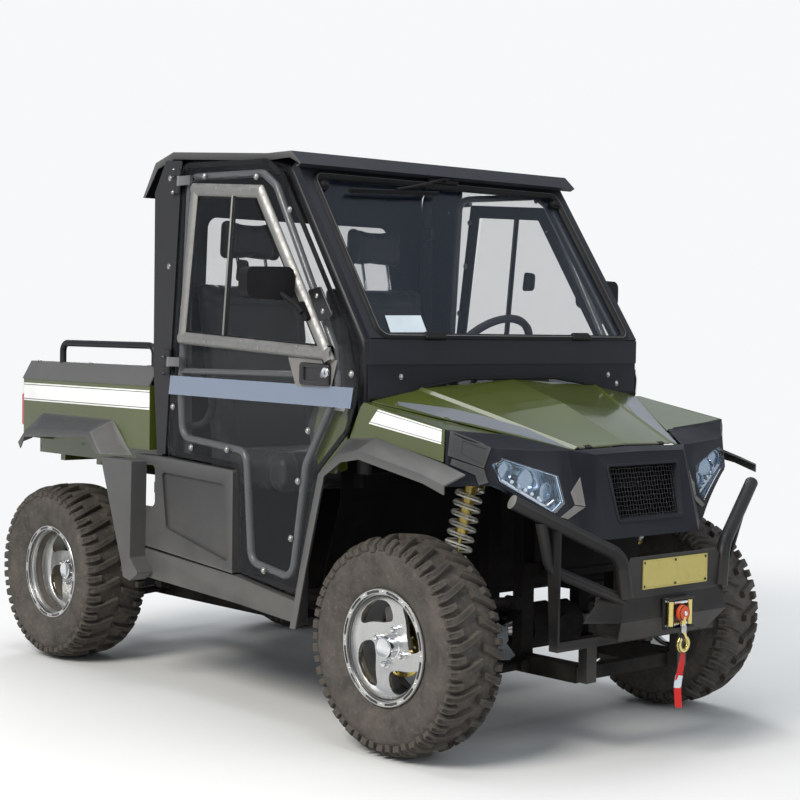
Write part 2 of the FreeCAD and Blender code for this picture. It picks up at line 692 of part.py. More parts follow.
def nose_front(z):
    """The inner face of the nose's front wall at a height."""
    return F(362) - S.panel_sheet + (860 - z) * (416 - 362) / (860 - 640)


def frame_shape():
    side = [block((R(-215), rail_in, rail_low), (F(330), rail_out, rail_top)),
            block((R(-112), rail_in, deck_z - tube_size), (R(770), rail_out, deck_z)),
            block((cowl_beam_x, rail_in, cowl_beam_top - tube_size), (F(118), rail_out, cowl_beam_top))]
    for x in (R(-82), R(118), R(732)):
        side.append(block((x - tube_size, rail_in, rail_z_mid), (x, rail_out, deck_z - 1)))
    for x in (F(118), F(-22)):
        side.append(block((x - tube_size, rail_in, rail_z_mid), (x, rail_out, cowl_beam_top - 1)))
    side.append(block((F(-2), rail_in + 1, S.shock_top_z + 16),
                      (F(42), S.shock_top_y + 16, S.shock_top_z + 40)))
    side.append(block((F(-22) - tube_size, rail_in + 1, cowl_beam_top - 1),
                      (F(-22), rail_out - 1, S.shock_top_z + 38)))
    side.append(block((F(-22) - tube_size, rail_in + 1, S.shock_top_z + 16),
                      (F(40), rail_out - 1, S.shock_top_z + 38)))
    side.append(block((R(-10), rail_out - 2, S.shock_rear_top_z + 17.2),
                      (R(70), S.shock_rear_top_y + 12, deck_z - 4)))
    side.append(block((F(-126), rail_in, 402), (F(-23), rail_out, 436)))
    side.append(block((F(117), rail_in + 1, 500), (F(165) - S.pin_gap, rail_out - 1, 540)))
    side.append(block((F(117), rail_in + 1, S.nose_arm_z - 18),
                      (nose_front(S.nose_arm_z) - S.pin_gap, rail_in + 19, S.nose_arm_z)))
    side.append(stored(slab("XZ", [(R(-100), deck_z - tube_size), (R(-163), S.tilt_pin_z - 6),
                                   (R(-156), S.tilt_pin_z + 12),
                            (R(-100), deck_z)], rail_out - 2, rail_out + 8)))
    side.append(bar((R(-150), rail_out - 2, S.tilt_pin_z), (R(-150), rail_out + 8, S.tilt_pin_z), 15))
    side.append(bar((R(-150), rail_in - 8, S.tilt_pin_z), (R(-150), rail_out + 6, S.tilt_pin_z),
                    S.tilt_pin_radius))
    cross = [block((x - tube_size, -rail_in - 1, low), (x, rail_in + 1, low + tube_size))
             for x, low in ((F(330), rail_low + 4), (F(-340), rail_low + 4), (R(690), rail_low + 4),
                            (R(120), rail_low + 4), (R(-177), rail_low + 4),
                            (R(-82), deck_z - tube_size - 2),
                            (F(118), cowl_beam_top - tube_size - 2))]
    cross.append(block((cowl_beam_x - 22, -S.cage_foot_y - 26, cowl_beam_top - tube_size + 2),
                      (cowl_beam_x + 22, S.cage_foot_y + 26, cowl_beam_top)))
    cross.append(block((R(S.cage_rear_x) - 34, -S.cage_foot_y - 10, deck_z - tube_size + 2),
                      (R(S.cage_rear_x) + 34, S.cage_foot_y + 10, deck_z)))
    skin_y = S.body_half_width + 8 - S.panel_sheet - S.pin_gap
    for s in (-1, 1):
        lugs = [((R(650), 584, deck_z - tube_size + 2), (R(686), skin_y, deck_z)),
                ((F(-486), S.cage_foot_y - 2, floor_low - 21), (F(-454), skin_y, floor_low - 4)),
                ((R(620), S.cage_foot_y - 2, floor_low - 24), (R(650), S.cage_foot_y + 28, floor_low)),
                ((R(620), S.cage_foot_y + 6, floor_low - 4), (R(650), S.cage_foot_y + 28, floor_low + 40)),
                ((R(620), S.cage_foot_y + 8, floor_low + 20), (R(650), skin_y, floor_low + 40))]
        for (x0, y0, z0), (x1, y1, z1) in lugs:
            y_low, y_high = sorted((s * y0, s * y1))
            cross.append(block((x0, y_low, z0), (x1, y_high, z1)))
    for x in (F(-450), F(-720), R(655)):
        cross.append(block((x - 40, -S.cage_foot_y, floor_low - 28), (x, S.cage_foot_y, floor_low)))
        for side_sign in (1, -1):
            low, high = sorted((side_sign * rail_in, side_sign * rail_out))
            cross.append(block((x - 40, low, rail_top - 1), (x, high, floor_low - 27)))
    housing = bar((rack_x, -S.rack_housing_half, rod_z), (rack_x, S.rack_housing_half, rod_z),
                  S.rack_housing_radius)
    housing = cut(housing, bar((rack_x, -S.rack_half, rod_z), (rack_x, S.rack_half, rod_z),
                               S.rack_radius + S.pin_gap))
    cross.append(block((rack_x - 16, -rail_in - 1, rail_top - 8), (rack_x + 16, rail_in + 1, rail_top)))
    for y in (-S.rack_housing_half, S.rack_housing_half - 14):
        foot = block((rack_x - 12, y, rail_top - 1), (rack_x + 12, y + 14, rod_z))
        cross.append(cut(foot, bar((rack_x, y - 1, rod_z), (rack_x, y + 15, rod_z),
                                   S.rack_radius + S.pin_gap)))
    return joined([joined(both_sides(side) + cross), housing])


rail_z_mid = rail_top - 1


def hitch_shape():
    """The receiver tube with its pin hole, and the bar above it that ties it to both rails."""
    end, front = R(-S.hitch_reach), R(-177) - tube_size
    half, bore = S.receiver_half, S.receiver_bore_half
    middle = rail_low + half
    tube_block = block((end, -half, rail_low), (front, half, rail_low + 2 * half))
    hollow = block((end - 8, -bore, middle - bore), (front - 13, bore, middle + bore))
    pin_x = end + S.hitch_pin_inset
    pin_hole = bar((pin_x, -half - 8, middle), (pin_x, half + 8, middle), S.hitch_pin_radius)
    bars = [block((front - 35, -300, rail_low + 66), (front, 300, rail_low + 104)),
           block((front - 33, -28, rail_low + 2 * half - 2), (front, 28, rail_low + 68))]
    bars += both_sides([block((front - 17, rail_in + 4, rail_low + 20),
                              (front, rail_out - 4, rail_low + 100))])
    gusset = stored(slab("XZ", [(front - 33, rail_low + 70), (end + 60, rail_low + 2 * half),
                                (end + 60, middle + 20),
                         (front - 33, middle + 20)], half - 1, half + 5))
    return joined([cut(cut(tube_block, hollow), pin_hole)] + bars + both_sides([gusset]))


def between_stations(obj, start, end):
    return common(obj, block((start, -2000, 0), (end, 2000, 2000)))


# The frame is in three lengths, bolted face to face
frame = frame_shape()
front_split, rear_split = F(-S.frame_front_split), R(S.frame_rear_split)
keep_object("chassis_frame", between_stations(frame, rear_split, front_split))
keep_object("frame_front", between_stations(frame, front_split, F(900)))
keep_object("frame_rear", between_stations(frame, R(-900), rear_split))
keep_object("hitch", hitch_shape())

# Engine, final drives, exhaust and radiator, each resting on the frame
engine = joined([block((R(300), -rail_in + 4, rail_top + 12), (R(600), rail_in - 4, 520)),
               block((R(330), -120, 500), (R(560), 120, 610)),
               block((R(296), -rail_out + 6, rail_top + S.pin_gap), (R(340), rail_out - 6, rail_top + 14)),
               block((R(560), -rail_out + 6, rail_top + S.pin_gap), (R(604), rail_out - 6, rail_top + 14))])
drives = []
for x in (fx, rx):
    drives.append(stored(fuse([rod((x, -S.diff_half, axle_z), (x, S.diff_half, axle_z), 62),
                        rod((x - 75, 0, axle_z), (x + 90, 0, axle_z), 44),
                        box((x - 52, -rail_in + S.pin_gap, axle_z - 74),
                            (x - 14, rail_in - S.pin_gap, axle_z - 50))])))
radiator = joined([block((F(170), -190, 520), (F(205), 190, 745)),
                   block((F(165), -205, 500), (F(210), 205, 521)),
                   block((F(165), -205, 744), (F(210), 205, 764))])
keep_object("drivetrain", compound([engine] + drives + [radiator]))

# Front bumper: two bent bars a side on a folded winch plate
def bumper_shape():
    r = S.bumper_tube_radius
    main = tube([(F(362), -539, 755), (reach - 4, -232, 598), (reach + 2, -214, 480)], r, 70)
    strut = tube([(F(392), -455, 700), (F(372), -392, 560), (reach - 8, -212, 470)], r - 3, 60)
    post = ruled([[(F(388), -428, 690), (F(428), -418, 676), (F(428), -410, 676), (F(388), -420, 690)],
                  [(F(336), -352, 340), (F(368), -352, 340), (F(368), -344, 340), (F(336), -344, 340)]])
    gusset = box((F(336), -rail_out + 4, rail_top - 10), (F(368), -rail_in - 4, 330))
    lower = box((F(330) + S.pin_gap, -rail_out + 4, rail_low + 4), (F(368), -rail_in - 4, rail_top - 4))
    side = [main, strut, post, gusset, lower]
    plate = ruled([[(reach - 4, -217, 487), (reach, -217, 487), (reach, 217, 487), (reach - 4, 217, 487)],
                   [(reach + 2, -238, 412), (reach + 6, -238, 412), (reach + 6, 238, 412),
                    (reach + 2, 238, 412)],
                   [(reach - 40, -200, 350), (reach - 36, -200, 350), (reach - 36, 200, 350),
                    (reach - 40, 200, 350)]])
    wing = ruled([[(reach - 5, -216, 487), (reach, -216, 487), (reach + 6, -237, 412),
                   (reach + 1, -237, 412)],
                  [(reach - 52, -262, 478), (reach - 48, -262, 478), (reach - 60, -318, 410),
                   (reach - 64, -318, 410)]])
    brow = plate3d([(reach - 5, -205, 476), (reach - 5, -205, 575), (reach - 5, -190, 590),
                    (reach - 5, 190, 590), (reach - 5, 205, 575), (reach - 5, 205, 476)], vec(6, 0, 0))
    tongue = [box((F(352), y, 350), (reach - 34, y + 8, 455)) for y in (-168, 160)]
    shelf = box((F(340), -170, 348), (reach - 38, 170, 356))
    cross = box((F(336), -352, 322), (F(368), 352, 350))
    return fuse([plate, brow, shelf, cross] + tongue + both(side + [wing]))


keep("front_bumper", [bumper_shape()])

# Winch: motor, drum and gearbox in line, a roller fairlead, and the hook below it
def winch_shapes():
    x, z = F(400), S.winch_z
    body = fuse([rod((x, -135, z), (x, -55, z), 46), rod((x, -56, z), (x, 56, z), 30),
                 rod((x, 55, z), (x, 140, z), 42),
                 box((x - 40, -134, 356.3), (x + 40, -60, z - 20)),
                 box((x - 40, 60, 356.3), (x + 40, 136, z - 20))])
    front = reach + 6 + S.pin_gap
    frame = slab("YZ", [(-60, 374), (60, 374), (60, 467), (-60, 467)], front, front + 5, 6,
                 holes=[([(-34, 392), (34, 392), (34, 450), (-34, 450)], 0)])
    ears = [box((front + 4, -58, z0), (front + 24, 58, z0 + 5)) for z0 in (376, 460)]
    rollers = [rod((front + 15, s * 42, 381), (front + 15, s * 42, 460), 8) for s in (1, -1)]
    rollers += [rod((front + 13, -50, zz), (front + 13, 50, zz), 6) for zz in (390, 452)]
    stop = rod((front + 19 + S.pin_gap, 0, 422), (front + 34, 0, 422), 22)
    shank = rod((front + 28, 0, 422), (front + 29, 0, 350), 6)
    outer, inner = S.hook_radius + S.hook_wire, S.hook_radius - S.hook_wire
    hook = rod((front + 29 - S.hook_wire, 0, S.hook_z), (front + 29 + S.hook_wire, 0, S.hook_z), outer)
    hook = hook.cut(rod((front + 20, 0, S.hook_z), (front + 40, 0, S.hook_z), inner))
    return body, fuse([frame] + ears + rollers), fuse([stop, shank, hook])


keep("winch", winch_shapes())

# The pull strap hangs from the hook
strap_x = reach + 6 + S.pin_gap + 29
strap_top = S.hook_z - S.hook_radius - S.hook_wire - S.pin_gap
strap = slab("XZ", [(strap_x - 3, strap_top), (strap_x + 1, strap_top), (strap_x - 7, 240),
                    (strap_x + 2, 190), (strap_x - 2, 150),
                    (strap_x - 6, 150), (strap_x - 2, 190), (strap_x - 11, 240)], -13, 13)
keep("winch_strap", [strap])

# Rockers, side panels and the fixed legs of the rear arches
rocker = [(R(585), 373), (F(-721), 346), (F(-413), 322), (F(-413), 376), (F(-440), 396 - S.door_gap),
          (F(-735), 438 - S.door_gap), (R(553), 471)]
body_panel = -S.body_half_width - 8
pair_shape("rocker_panels", [tray("XZ", rocker, body_panel, -S.panel_inner_y, S.panel_sheet, 6)])
side_outline = [(R(545), 482), (F(-749), 438), (F(-745) - S.door_gap, 445), (F(-752), 764),
                (R(690), 783), (R(545), 783)]
filler = [(R(556), 612), (R(660), 612), (R(660), 752), (R(556), 752)]
recess = [(R(699), 732), (F(-798), 718), (F(-772), 470), (R(726), 547)]
side_panel = tray("XZ", side_outline, body_panel, -S.panel_inner_y, S.panel_sheet, 8, holes=[(filler, 20)])
side_panel = side_panel.fuse(slab("XZ", [(R(690), 742), (F(-788), 728), (F(-762), 462), (R(716), 538)],
                                  body_panel, body_panel + 14, 12))
side_panel = side_panel.cut(slab("XZ", recess, body_panel - 1, body_panel + 9, 14))
pair_shape("side_panels", [side_panel.removeSplitter()])
leg = [(R(424), 766), (R(612), 766), (R(606), 440), (R(655), 392), (R(606), 362), (R(566), 372),
       (R(556), 412)]
pair_shape("flare_legs", [tray("XZ", leg, -S.flare_y, body_panel - S.pin_gap, S.panel_sheet, 6)])


def arch(stations, outer, inner, lip, wall):
    """A wheel-arch flare from stations: its edge and its seam on the body."""
    sections = []
    for ex, ez, sx, sz in stations:
        size = math.hypot(ex - sx, ez - sz)
        ux, uz = (ex - sx) / size, (ez - sz) / size
        sections.append([(ex + ux * lip, -outer, ez + uz * lip), (ex, -outer, ez), (sx, -inner, sz),
                         (sx + ux * wall, -inner, sz + uz * wall),
                         (ex + ux * wall, -outer + wall, ez + uz * wall),
                         (ex + ux * lip, -outer + wall, ez + uz * lip)])
    return ruled(sections)


front_flare = arch([(F(-384), 322, F(-402), 322), (F(-342), 494, F(-400), 496),
                    (F(-262), 793, F(-322), 806),
                    (F(-181), 852, F(-222), 896), (F(-92), 872, F(-100), 905), (F(175), 824, F(168), 852),
                    (F(262), 800, F(262), 826)], S.flare_y, S.flare_seam_y, S.flare_lip, S.panel_sheet)
pair_shape("front_flares", [front_flare])
bed_flare = arch([(R(-128), 784, R(-140), 800), (R(-77), 831, R(-60), 893), (R(352), 847, R(400), 890),
                  (R(414), 776, R(516), 776)],
                 S.flare_y, S.body_half_width + 4 + S.pin_gap, S.flare_lip, S.panel_sheet)
pair_shape("bed_flares", [bed_flare])

# Front body: green fenders, the crowned hood, the dark nose with its lamps and grille
hood_rear_x, hood_front_x = cowl_x + 6, F(-S.hood_front_setback)
fender_y = S.body_half_width - 12
nose_clear = fender_y + 100


def lid_section(x, crown, edge_y, edge_z, outer_z, top):
    return [(x, -nose_clear, outer_z), (x, -fender_y, outer_z), (x, -edge_y, edge_z), (x, 0, crown),
            (x, edge_y, edge_z), (x, fender_y, outer_z), (x, nose_clear, outer_z), (x, nose_clear, top),
            (x, -nose_clear, top)]


def lid(drop):
    """Everything above the line of the fender tops and the hood's edges."""
    return ruled([lid_section(F(60), 962 - drop, 430, 948 - drop, 966 - drop, 1300),
                  lid_section(F(180), 930 - drop, 340, 918 - drop, 946 - drop, 1300),
                  lid_section(F(307), 888 - drop, 244, 884 - drop, 866 - drop, 1300),
                  lid_section(F(460), 846 - drop, 180, 844 - drop, 800 - drop, 1300)])


def nose_block(inset_by):
    t = inset_by
    upper = [(F(362) - t, 200 - t * 0.4), (F(318) - t, 262 - t * 0.4), (F(272) - t, 508 - t),
             (F(184) - t, fender_y - t), (F(110), fender_y - t)]
    lower = [(F(416) - t, 205 - t * 0.4), (F(378) - t, 268 - t * 0.4), (F(303) - t, 508 - t),
             (F(184) - t, fender_y - t), (F(110), fender_y - t)]
    def ring(points, z):
        right = [(x, -y, z) for x, y in points]
        left = [(x, y, z) for x, y in reversed(points)]
        return right + left
    def extend(z):
        share = (860 - z) / (860 - 640)
        return [(a[0] + (b[0] - a[0]) * share, a[1] + (b[1] - a[1]) * share) for a, b in zip(upper, lower)]
    return ruled([ring(extend(1000), 1000), ring(extend(560), 560)])


nose_outer = nose_block(0).cut(lid(0))
nose_inner = nose_block(S.panel_sheet).cut(lid(S.panel_sheet))
under = ruled([[(x, -nose_clear, z_out), (x, -505, z_out), (x, -300, z_mid), (x, -205, z_in),
                (x, 205, z_in), (x, 300, z_mid),
                (x, 505, z_out), (x, nose_clear, z_out), (x, nose_clear, 400), (x, -nose_clear, 400)]
               for x, z_out, z_mid, z_in in ((F(60), 786, 760, 740), (F(184), 786, 740, 700),
                                             (F(300), 792, 668, 640),
                                             (F(460), 800, 655, 632))])
lamp_corners = [(520, 850), (487, 867), (308, 813), (300, 735), (336, 708), (504, 803)]
grille_hole = [(-S.grille_half_width, S.grille_top_z), (S.grille_half_width, S.grille_top_z),
               (S.grille_half_width - 14, S.grille_low_z), (-S.grille_half_width + 14, S.grille_low_z)]


def lamp_prism(shrink, depth_from, depth_to, side=-1):
    cy = sum(y for y, z in lamp_corners) / len(lamp_corners)
    cz = sum(z for y, z in lamp_corners) / len(lamp_corners)
    points = [(side * (cy + (y - cy) * shrink), cz + (z - cz) * shrink) for y, z in lamp_corners]
    return slab("YZ", points, depth_from, depth_to, 4)


hood_hole = slab("XY", [(F(40), -455), (hood_front_x + 8, -246), (hood_front_x + 8, 246), (F(40), 455)],
                 700, 1200)
grille_cut = slab("YZ", grille_hole, F(250), F(520), 8)
lamp_holes = Part.makeCompound([lamp_prism(1.0, F(200), F(420), s) for s in (-1, 1)])
rear_cut = box((F(60), -nose_clear, 500), (F(184), nose_clear, 1100))
nose = nose_outer.cut(nose_inner).cut(under).cut(hood_hole).cut(grille_cut).cut(lamp_holes).cut(rear_cut)
hood_pin_x = F(S.hood_pin_ahead)
nose_hinge = [rod((hood_pin_x, -176, S.hood_pin_z), (hood_pin_x, -150 - S.pin_gap, S.hood_pin_z),
                  S.hood_knuckle_radius),
              rod((hood_pin_x, -170, S.hood_pin_z), (hood_pin_x, -122, S.hood_pin_z), S.hood_pin_radius),
              box((hood_pin_x - 2, -175, S.hood_pin_z - 12), (F(324), -151, S.hood_pin_z - 5)),
              box((hood_pin_x - 2, -175, S.hood_pin_z - 8), (hood_pin_x + 2, -151, S.hood_pin_z - 1))]
nose = fuse([nose] + both(nose_hinge))
keep("nose", nose.Solids)

lens_skin = nose_outer.cut(nose_block(S.glass_thickness))
bowl_block = nose_block(S.glass_thickness + S.pin_gap).cut(nose_block(58))
bowl_inside = nose_block(S.glass_thickness + S.pin_gap).cut(nose_block(50))
lenses, bowls = [], []
for side in (-1, 1):
    lenses.append(lens_skin.common(lamp_prism(0.985, F(200), F(420), side)).common(nose_outer))
    bowls.append(bowl_block.common(lamp_prism(0.985, F(120), F(420), side)).cut(
        bowl_inside.common(lamp_prism(0.90, F(120), F(420), side))))
keep("headlamp_lenses", lenses)
keep("headlamps", bowls)

bars = []
for i in range(int(S.grille_rows)):
    z = S.grille_low_z - 8 + (S.grille_top_z - S.grille_low_z + 16) * i / (S.grille_rows - 1)
    x = nose_front(z) - S.pin_gap - 2
    half = S.grille_half_width + 4
    bars.append(box((x - 4, -half, z - 2), (x, half, z + 2)))
for i in range(int(S.grille_columns)):
    y = (S.grille_half_width + 2) * (2 * i / (S.grille_columns - 1) - 1)
    bars.append(ruled([[(nose_front(z) - S.pin_gap - 6, y - 2, z), (nose_front(z) - S.pin_gap, y - 2, z),
                        (nose_front(z) - S.pin_gap, y + 2, z), (nose_front(z) - S.pin_gap - 6, y + 2, z)]
                       for z in (S.grille_top_z + 10, S.grille_low_z - 10)]))
keep("grille", [fuse(bars)])


def hood_section(x, crown, ridge_y, ridge_z, edge_y, edge_z, t):
    top = [(-edge_y, edge_z), (-ridge_y - 14, ridge_z - 8), (-ridge_y, ridge_z),
           (-ridge_y + 14, ridge_z - 3),
           (0, crown), (ridge_y - 14, ridge_z - 3), (ridge_y, ridge_z), (ridge_y + 14, ridge_z - 8),
           (edge_y, edge_z)]
    return [(x, y, z) for y, z in top] + [(x, y, z - t) for y, z in reversed(top)]


hood = ruled([hood_section(hood_rear_x, S.hood_crown_z, 392, 1046, S.frame_half - 8, 1008, S.panel_sheet),
              hood_section(F(60), 1000, 305, 974, 424, 951, S.panel_sheet),
              hood_section(hood_front_x - 2, 893, 214, 891, 240, 884, S.panel_sheet)])
hood_knuckles = both([rod((hood_pin_x, -150, S.hood_pin_z), (hood_pin_x, -120, S.hood_pin_z),
                          S.hood_knuckle_radius)])
hood_bore = rod((hood_pin_x, -200, S.hood_pin_z), (hood_pin_x, 200, S.hood_pin_z),
                S.hood_pin_radius + S.pin_gap)
hood_notches = both([box((hood_pin_x - 9, -180, S.hood_pin_z - 15), (F(320), -149.7, S.hood_pin_z + 20))])
keep("hood", [fuse([hood] + hood_knuckles).cut(hood_bore).cut(Part.makeCompound(hood_notches))])

# Fenders: a side skin, and a top that runs in to the hood's edge
fender_side = slab("XZ", [(F(-158), 1004), (F(180), 944), (F(176), 852 + S.pin_gap * 4), (F(-96), 902),
                          (F(-188), 876), (F(-215), 870), (F(-215), 905), (F(-172), 990)], -fender_y,
                          -fender_y + 4)
fender_top = ruled([[(F(-154), -fender_y, 1004), (F(-154), -S.frame_half + 2, 1004),
                     (F(-154), -S.frame_half + 2, 1000), (F(-154), -fender_y, 1000)],
                    [(F(60), -fender_y, 965), (F(60), -434, 945), (F(60), -434, 941),
                     (F(60), -fender_y, 961)],
                    [(F(180), -fender_y, 944), (F(180), -346, 914), (F(180), -346, 910),
                     (F(180), -fender_y, 940)]])
inner_pillar = slab("XZ", [(F(-255), 1001), (F(-255), 800), (F(-300), 786), (F(-373), 786), (F(-402), 835),
                           (F(-408), 904), (F(-380), 1001)], -S.frame_half + 1, -S.frame_half + 5, 6)
pair_shape("front_fenders", [fender_side.fuse(fender_top), inner_pillar])

# Cab floor, dash, seats and steering
floor_half = S.cage_foot_y + 2
floor_profile = [(R(634), deck_z + S.pin_gap), (F(-742), deck_z + S.pin_gap), (F(-732), S.floor_z),
                 (F(-402), S.floor_z), (F(-345), 560), (F(-300), 700), (F(-300), 1000),
                 (F(-304), 1000), (F(-304), 701), (F(-349), 563), (F(-405), S.floor_z + S.floor_sheet),
                 (F(-728), S.floor_z + S.floor_sheet), (F(-738), deck_z + S.pin_gap + S.floor_sheet),
                 (R(634), deck_z + S.pin_gap + S.floor_sheet)]
floor = slab("XZ", floor_profile, -floor_half, floor_half)
keep("floor_pan", [floor])

column_dir = vec(math.cos(math.radians(S.steering_tilt)), 0, -math.sin(math.radians(S.steering_tilt)))
wheel_c = vec(F(-550), S.seat_centre_y, S.steering_z)


def along_column(distance):
    p = wheel_c + column_dir * distance
    return (p.x, p.y, p.z)


dash_profile = [(F(-304), 1020), (F(-304), 820), (F(-345), 790), (F(-420), 830), (F(-440), 930),
                (F(-400), 1010),
                (F(-340), 1040)]
dash = slab("XZ", [(x - S.pin_gap, z) for x, z in dash_profile], -S.cab_half_width + 3 + S.pin_gap,
            S.cab_half_width - 3 - S.pin_gap, 18)
pod = slab("XZ", [(F(-330), 1030), (F(-410), 1000), (F(-440), 1010), (F(-420), 1062), (F(-350), 1066)],
           S.seat_centre_y - 90, S.seat_centre_y + 90, 12)
cover = rod(along_column(64), along_column(170), 32)
bore = rod(along_column(60), along_column(150), S.column_radius + S.pin_gap)
glovebox = slab("YZ", [(-470, 870), (-120, 870), (-120, 960), (-470, 960)], F(-446), F(-420), 14)
keep("dash", [fuse([dash, pod, cover, glovebox]).cut(bore)])

grip = [(S.steering_radius + S.steering_grip * math.cos(math.radians(45 * i + 22.5)),
         S.steering_grip * math.sin(math.radians(45 * i + 22.5))) for i in range(9)]
grip_face = Part.Face(Part.makePolygon([vec(radius, 0, height) for radius, height in grip]))
wheel_rim = grip_face.revolve(vec(0, 0, 0), vec(0, 0, 1), 360)
wheel_rim.Placement = Placement(wheel_c, Rotation(vec(0, 0, 1), column_dir))
hub = rod(along_column(-8), along_column(26), 34)
spokes = []
side_dir = vec(0, 1, 0)
up_dir = column_dir.cross(side_dir)
for angle in (20, 160, 270):
    turn = math.radians(angle)
    way = side_dir * math.cos(turn) + up_dir * math.sin(turn)
    tip = wheel_c + way * S.steering_radius
    spokes.append(rod(along_column(8), (tip.x, tip.y, tip.z), 9))
column = rod(along_column(20), along_column(140), S.column_radius)
keep("steering_wheel", [fuse([wheel_rim, hub, column] + spokes)])

seat_low = deck_z + S.pin_gap + S.floor_sheet + S.pin_gap
seat_front, seat_back = F(-640), R(S.seat_back_x)
cushions, backs = [], []
for s in (-1, 1):
    y0, y1 = s * S.seat_centre_y - S.seat_width / 2, s * S.seat_centre_y + S.seat_width / 2
    foot_x = seat_back + 54
    cushions.append(slab("XZ", [(foot_x + S.pin_gap, seat_low), (seat_front - 20, seat_low),
                                (seat_front, seat_low + 50),
                                (seat_front - 10, seat_low + S.seat_thickness + 8),
                                (foot_x + S.pin_gap, seat_low + S.seat_thickness - 10)], y0, y1, 22))
    lean = math.tan(math.radians(S.seat_lean))
    bend_z, top_z = seat_low + S.seat_thickness - 10, seat_low + S.seat_thickness - 40 + S.seat_back_height
    rise = top_z - bend_z
    pad = slab("XZ", [(foot_x - S.seat_back_thickness, seat_low), (foot_x, seat_low), (foot_x, bend_z),
                      (foot_x - lean * rise, top_z), (foot_x - S.seat_back_thickness - lean * rise + 20,
                                                      top_z),
                      (foot_x - S.seat_back_thickness, bend_z)], y0 + 10, y1 - 10, 22)
    head_z = top_z + 28
    head_x = foot_x - lean * (rise + 60)
    post_x = head_x - S.headrest_thickness / 2
    posts = [rod((post_x + 4, s * S.seat_centre_y + y, top_z - 30),
                 (post_x, s * S.seat_centre_y + y, head_z - S.pin_gap), 6)
             for y in (-60, 60)]
    backs.append(fuse([pad] + posts))
    backs.append(slab("XZ", [(head_x - S.headrest_thickness + 10, head_z), (head_x - 8, head_z),
                             (head_x - 14, head_z + S.headrest_height),
                             (head_x - S.headrest_thickness, head_z + S.headrest_height)],
                      s * S.seat_centre_y - S.headrest_width / 2,
                      s * S.seat_centre_y + S.headrest_width / 2, 26))
keep("seat_cushions", cushions)
keep("seat_backs", backs)

# Roll cage
cage_y, cage_top_y, r = S.cage_foot_y, S.cage_foot_y - 14, S.cage_tube_radius
cage_rear_x = R(S.cage_rear_x)
cage_low_front = on_screen(-cage_y, 0, S.screen_depth + r + S.pin_gap)
roof_slope = (S.roof_rear_z - S.roof_front_z) / (F(-625) - R(719))
roof_drop = (r + S.pin_gap) * math.hypot(1, roof_slope)
top_v = ((S.roof_front_z - roof_drop - cage_low_front[2] - roof_slope * (cage_low_front[0] - F(-625)))
         / (uz + roof_slope * ux))
cage_top_front = on_screen(-cage_top_y, top_v, S.screen_depth + r + S.pin_gap)


def cage_line_z(x):
    """The height of the cage's top tubes, just under the roof."""
    return S.roof_front_z - roof_drop - roof_slope * (x - F(-625))


hoop = tube([(cowl_beam_x, -cage_y, cowl_beam_top + S.pin_gap), cage_low_front,
             cage_top_front, (R(702), -cage_top_y, cage_line_z(R(702))),
             (cage_rear_x, -cage_y, deck_z + S.pin_gap + 16)],
            r, S.cage_bend)
side_foot = rod((cage_rear_x, -cage_y, seat_low), (cage_rear_x, -cage_y, deck_z + 22), r + 8)
crosses = [rod((x, -cage_top_y, cage_line_z(x)), (x, cage_top_y, cage_line_z(x)), r - 2)
           for x in (cage_top_front[0] - 70, R(790))]
crosses += [
           rod((cage_rear_x + 7, -cage_y + 6, 1000), (cage_rear_x + 7, cage_y - 6, 1000), r - 4),
           rod((cage_rear_x + 3, -cage_y + 2, 800), (cage_rear_x + 3, cage_y - 2, 800), r - 4)]
cage_side = [hoop, side_foot]
cage = fuse(both(cage_side) + crosses)
keep("roll_cage", [cage])

# Roof: one folded sheet with turned-down edges
roof_line = [(R(543), 1648), (R(616), S.roof_rear_z - 26), (R(718), S.roof_rear_z + 4),
             (F(-625), S.roof_front_z + 4),
             (F(-507), S.roof_front_z + 4), (F(-461), S.roof_front_z - 37), (F(-480), S.roof_front_z - 46)]
under_line = [(R(549), 1648), (R(620), S.roof_rear_z - 31), (R(719), S.roof_rear_z),
              (F(-625), S.roof_front_z),
              (F(-509), S.roof_front_z), (F(-468), S.roof_front_z - 38), (F(-482), S.roof_front_z - 42)]
top = slab("XZ", roof_line + under_line[::-1], -S.roof_half_width, S.roof_half_width)
skirt_line = roof_line[:6] + [(F(-470), S.roof_front_z - 36), (F(-514), S.roof_front_z - 16),
                              (F(-625), S.roof_front_z - 18),
                              (R(722), S.roof_rear_z - 20), (R(630), S.roof_rear_z - 46), (R(556), 1648)]
skirts = [slab("XZ", skirt_line, s * S.roof_half_width, s * (S.roof_half_width - S.roof_sheet)) for s in (-1, 1)]
keep("roof", [fuse([top] + skirts)])

# Windscreen surround with the cowl under it, and the glass
normal_in = vec(-uz, 0, ux)
half_low, half_top = S.glass_half_low, S.glass_half_top
frame_half = S.frame_half
ring_pts = [on_screen(-frame_half, -6), on_screen(frame_half, -6),
            on_screen(frame_half - 8, screen_length + 44), on_screen(-frame_half + 8, screen_length + 44)]
glass_pts = [(-half_low, 0), (half_low, 0), (half_top, screen_length), (-half_top, screen_length)]
ring = plate3d(ring_pts, normal_in * S.screen_depth)
ring = ring.cut(plate3d([on_screen(y, v, -20) for y, v in glass_pts], normal_in * 60, 34))
cowl_low = [(-frame_half, S.cowl_low_z), (-455, S.cowl_low_z + 4), (-390, S.cowl_low_z + 30),
            (-200, S.cowl_low_z + 56),
            (200, S.cowl_low_z + 56), (390, S.cowl_low_z + 30), (455, S.cowl_low_z + 4),
            (frame_half, S.cowl_low_z),
            (frame_half, S.glass_low_z - 4), (-frame_half, S.glass_low_z - 4)]
cowl = slab("YZ", cowl_low, cowl_x - 4, cowl_x)
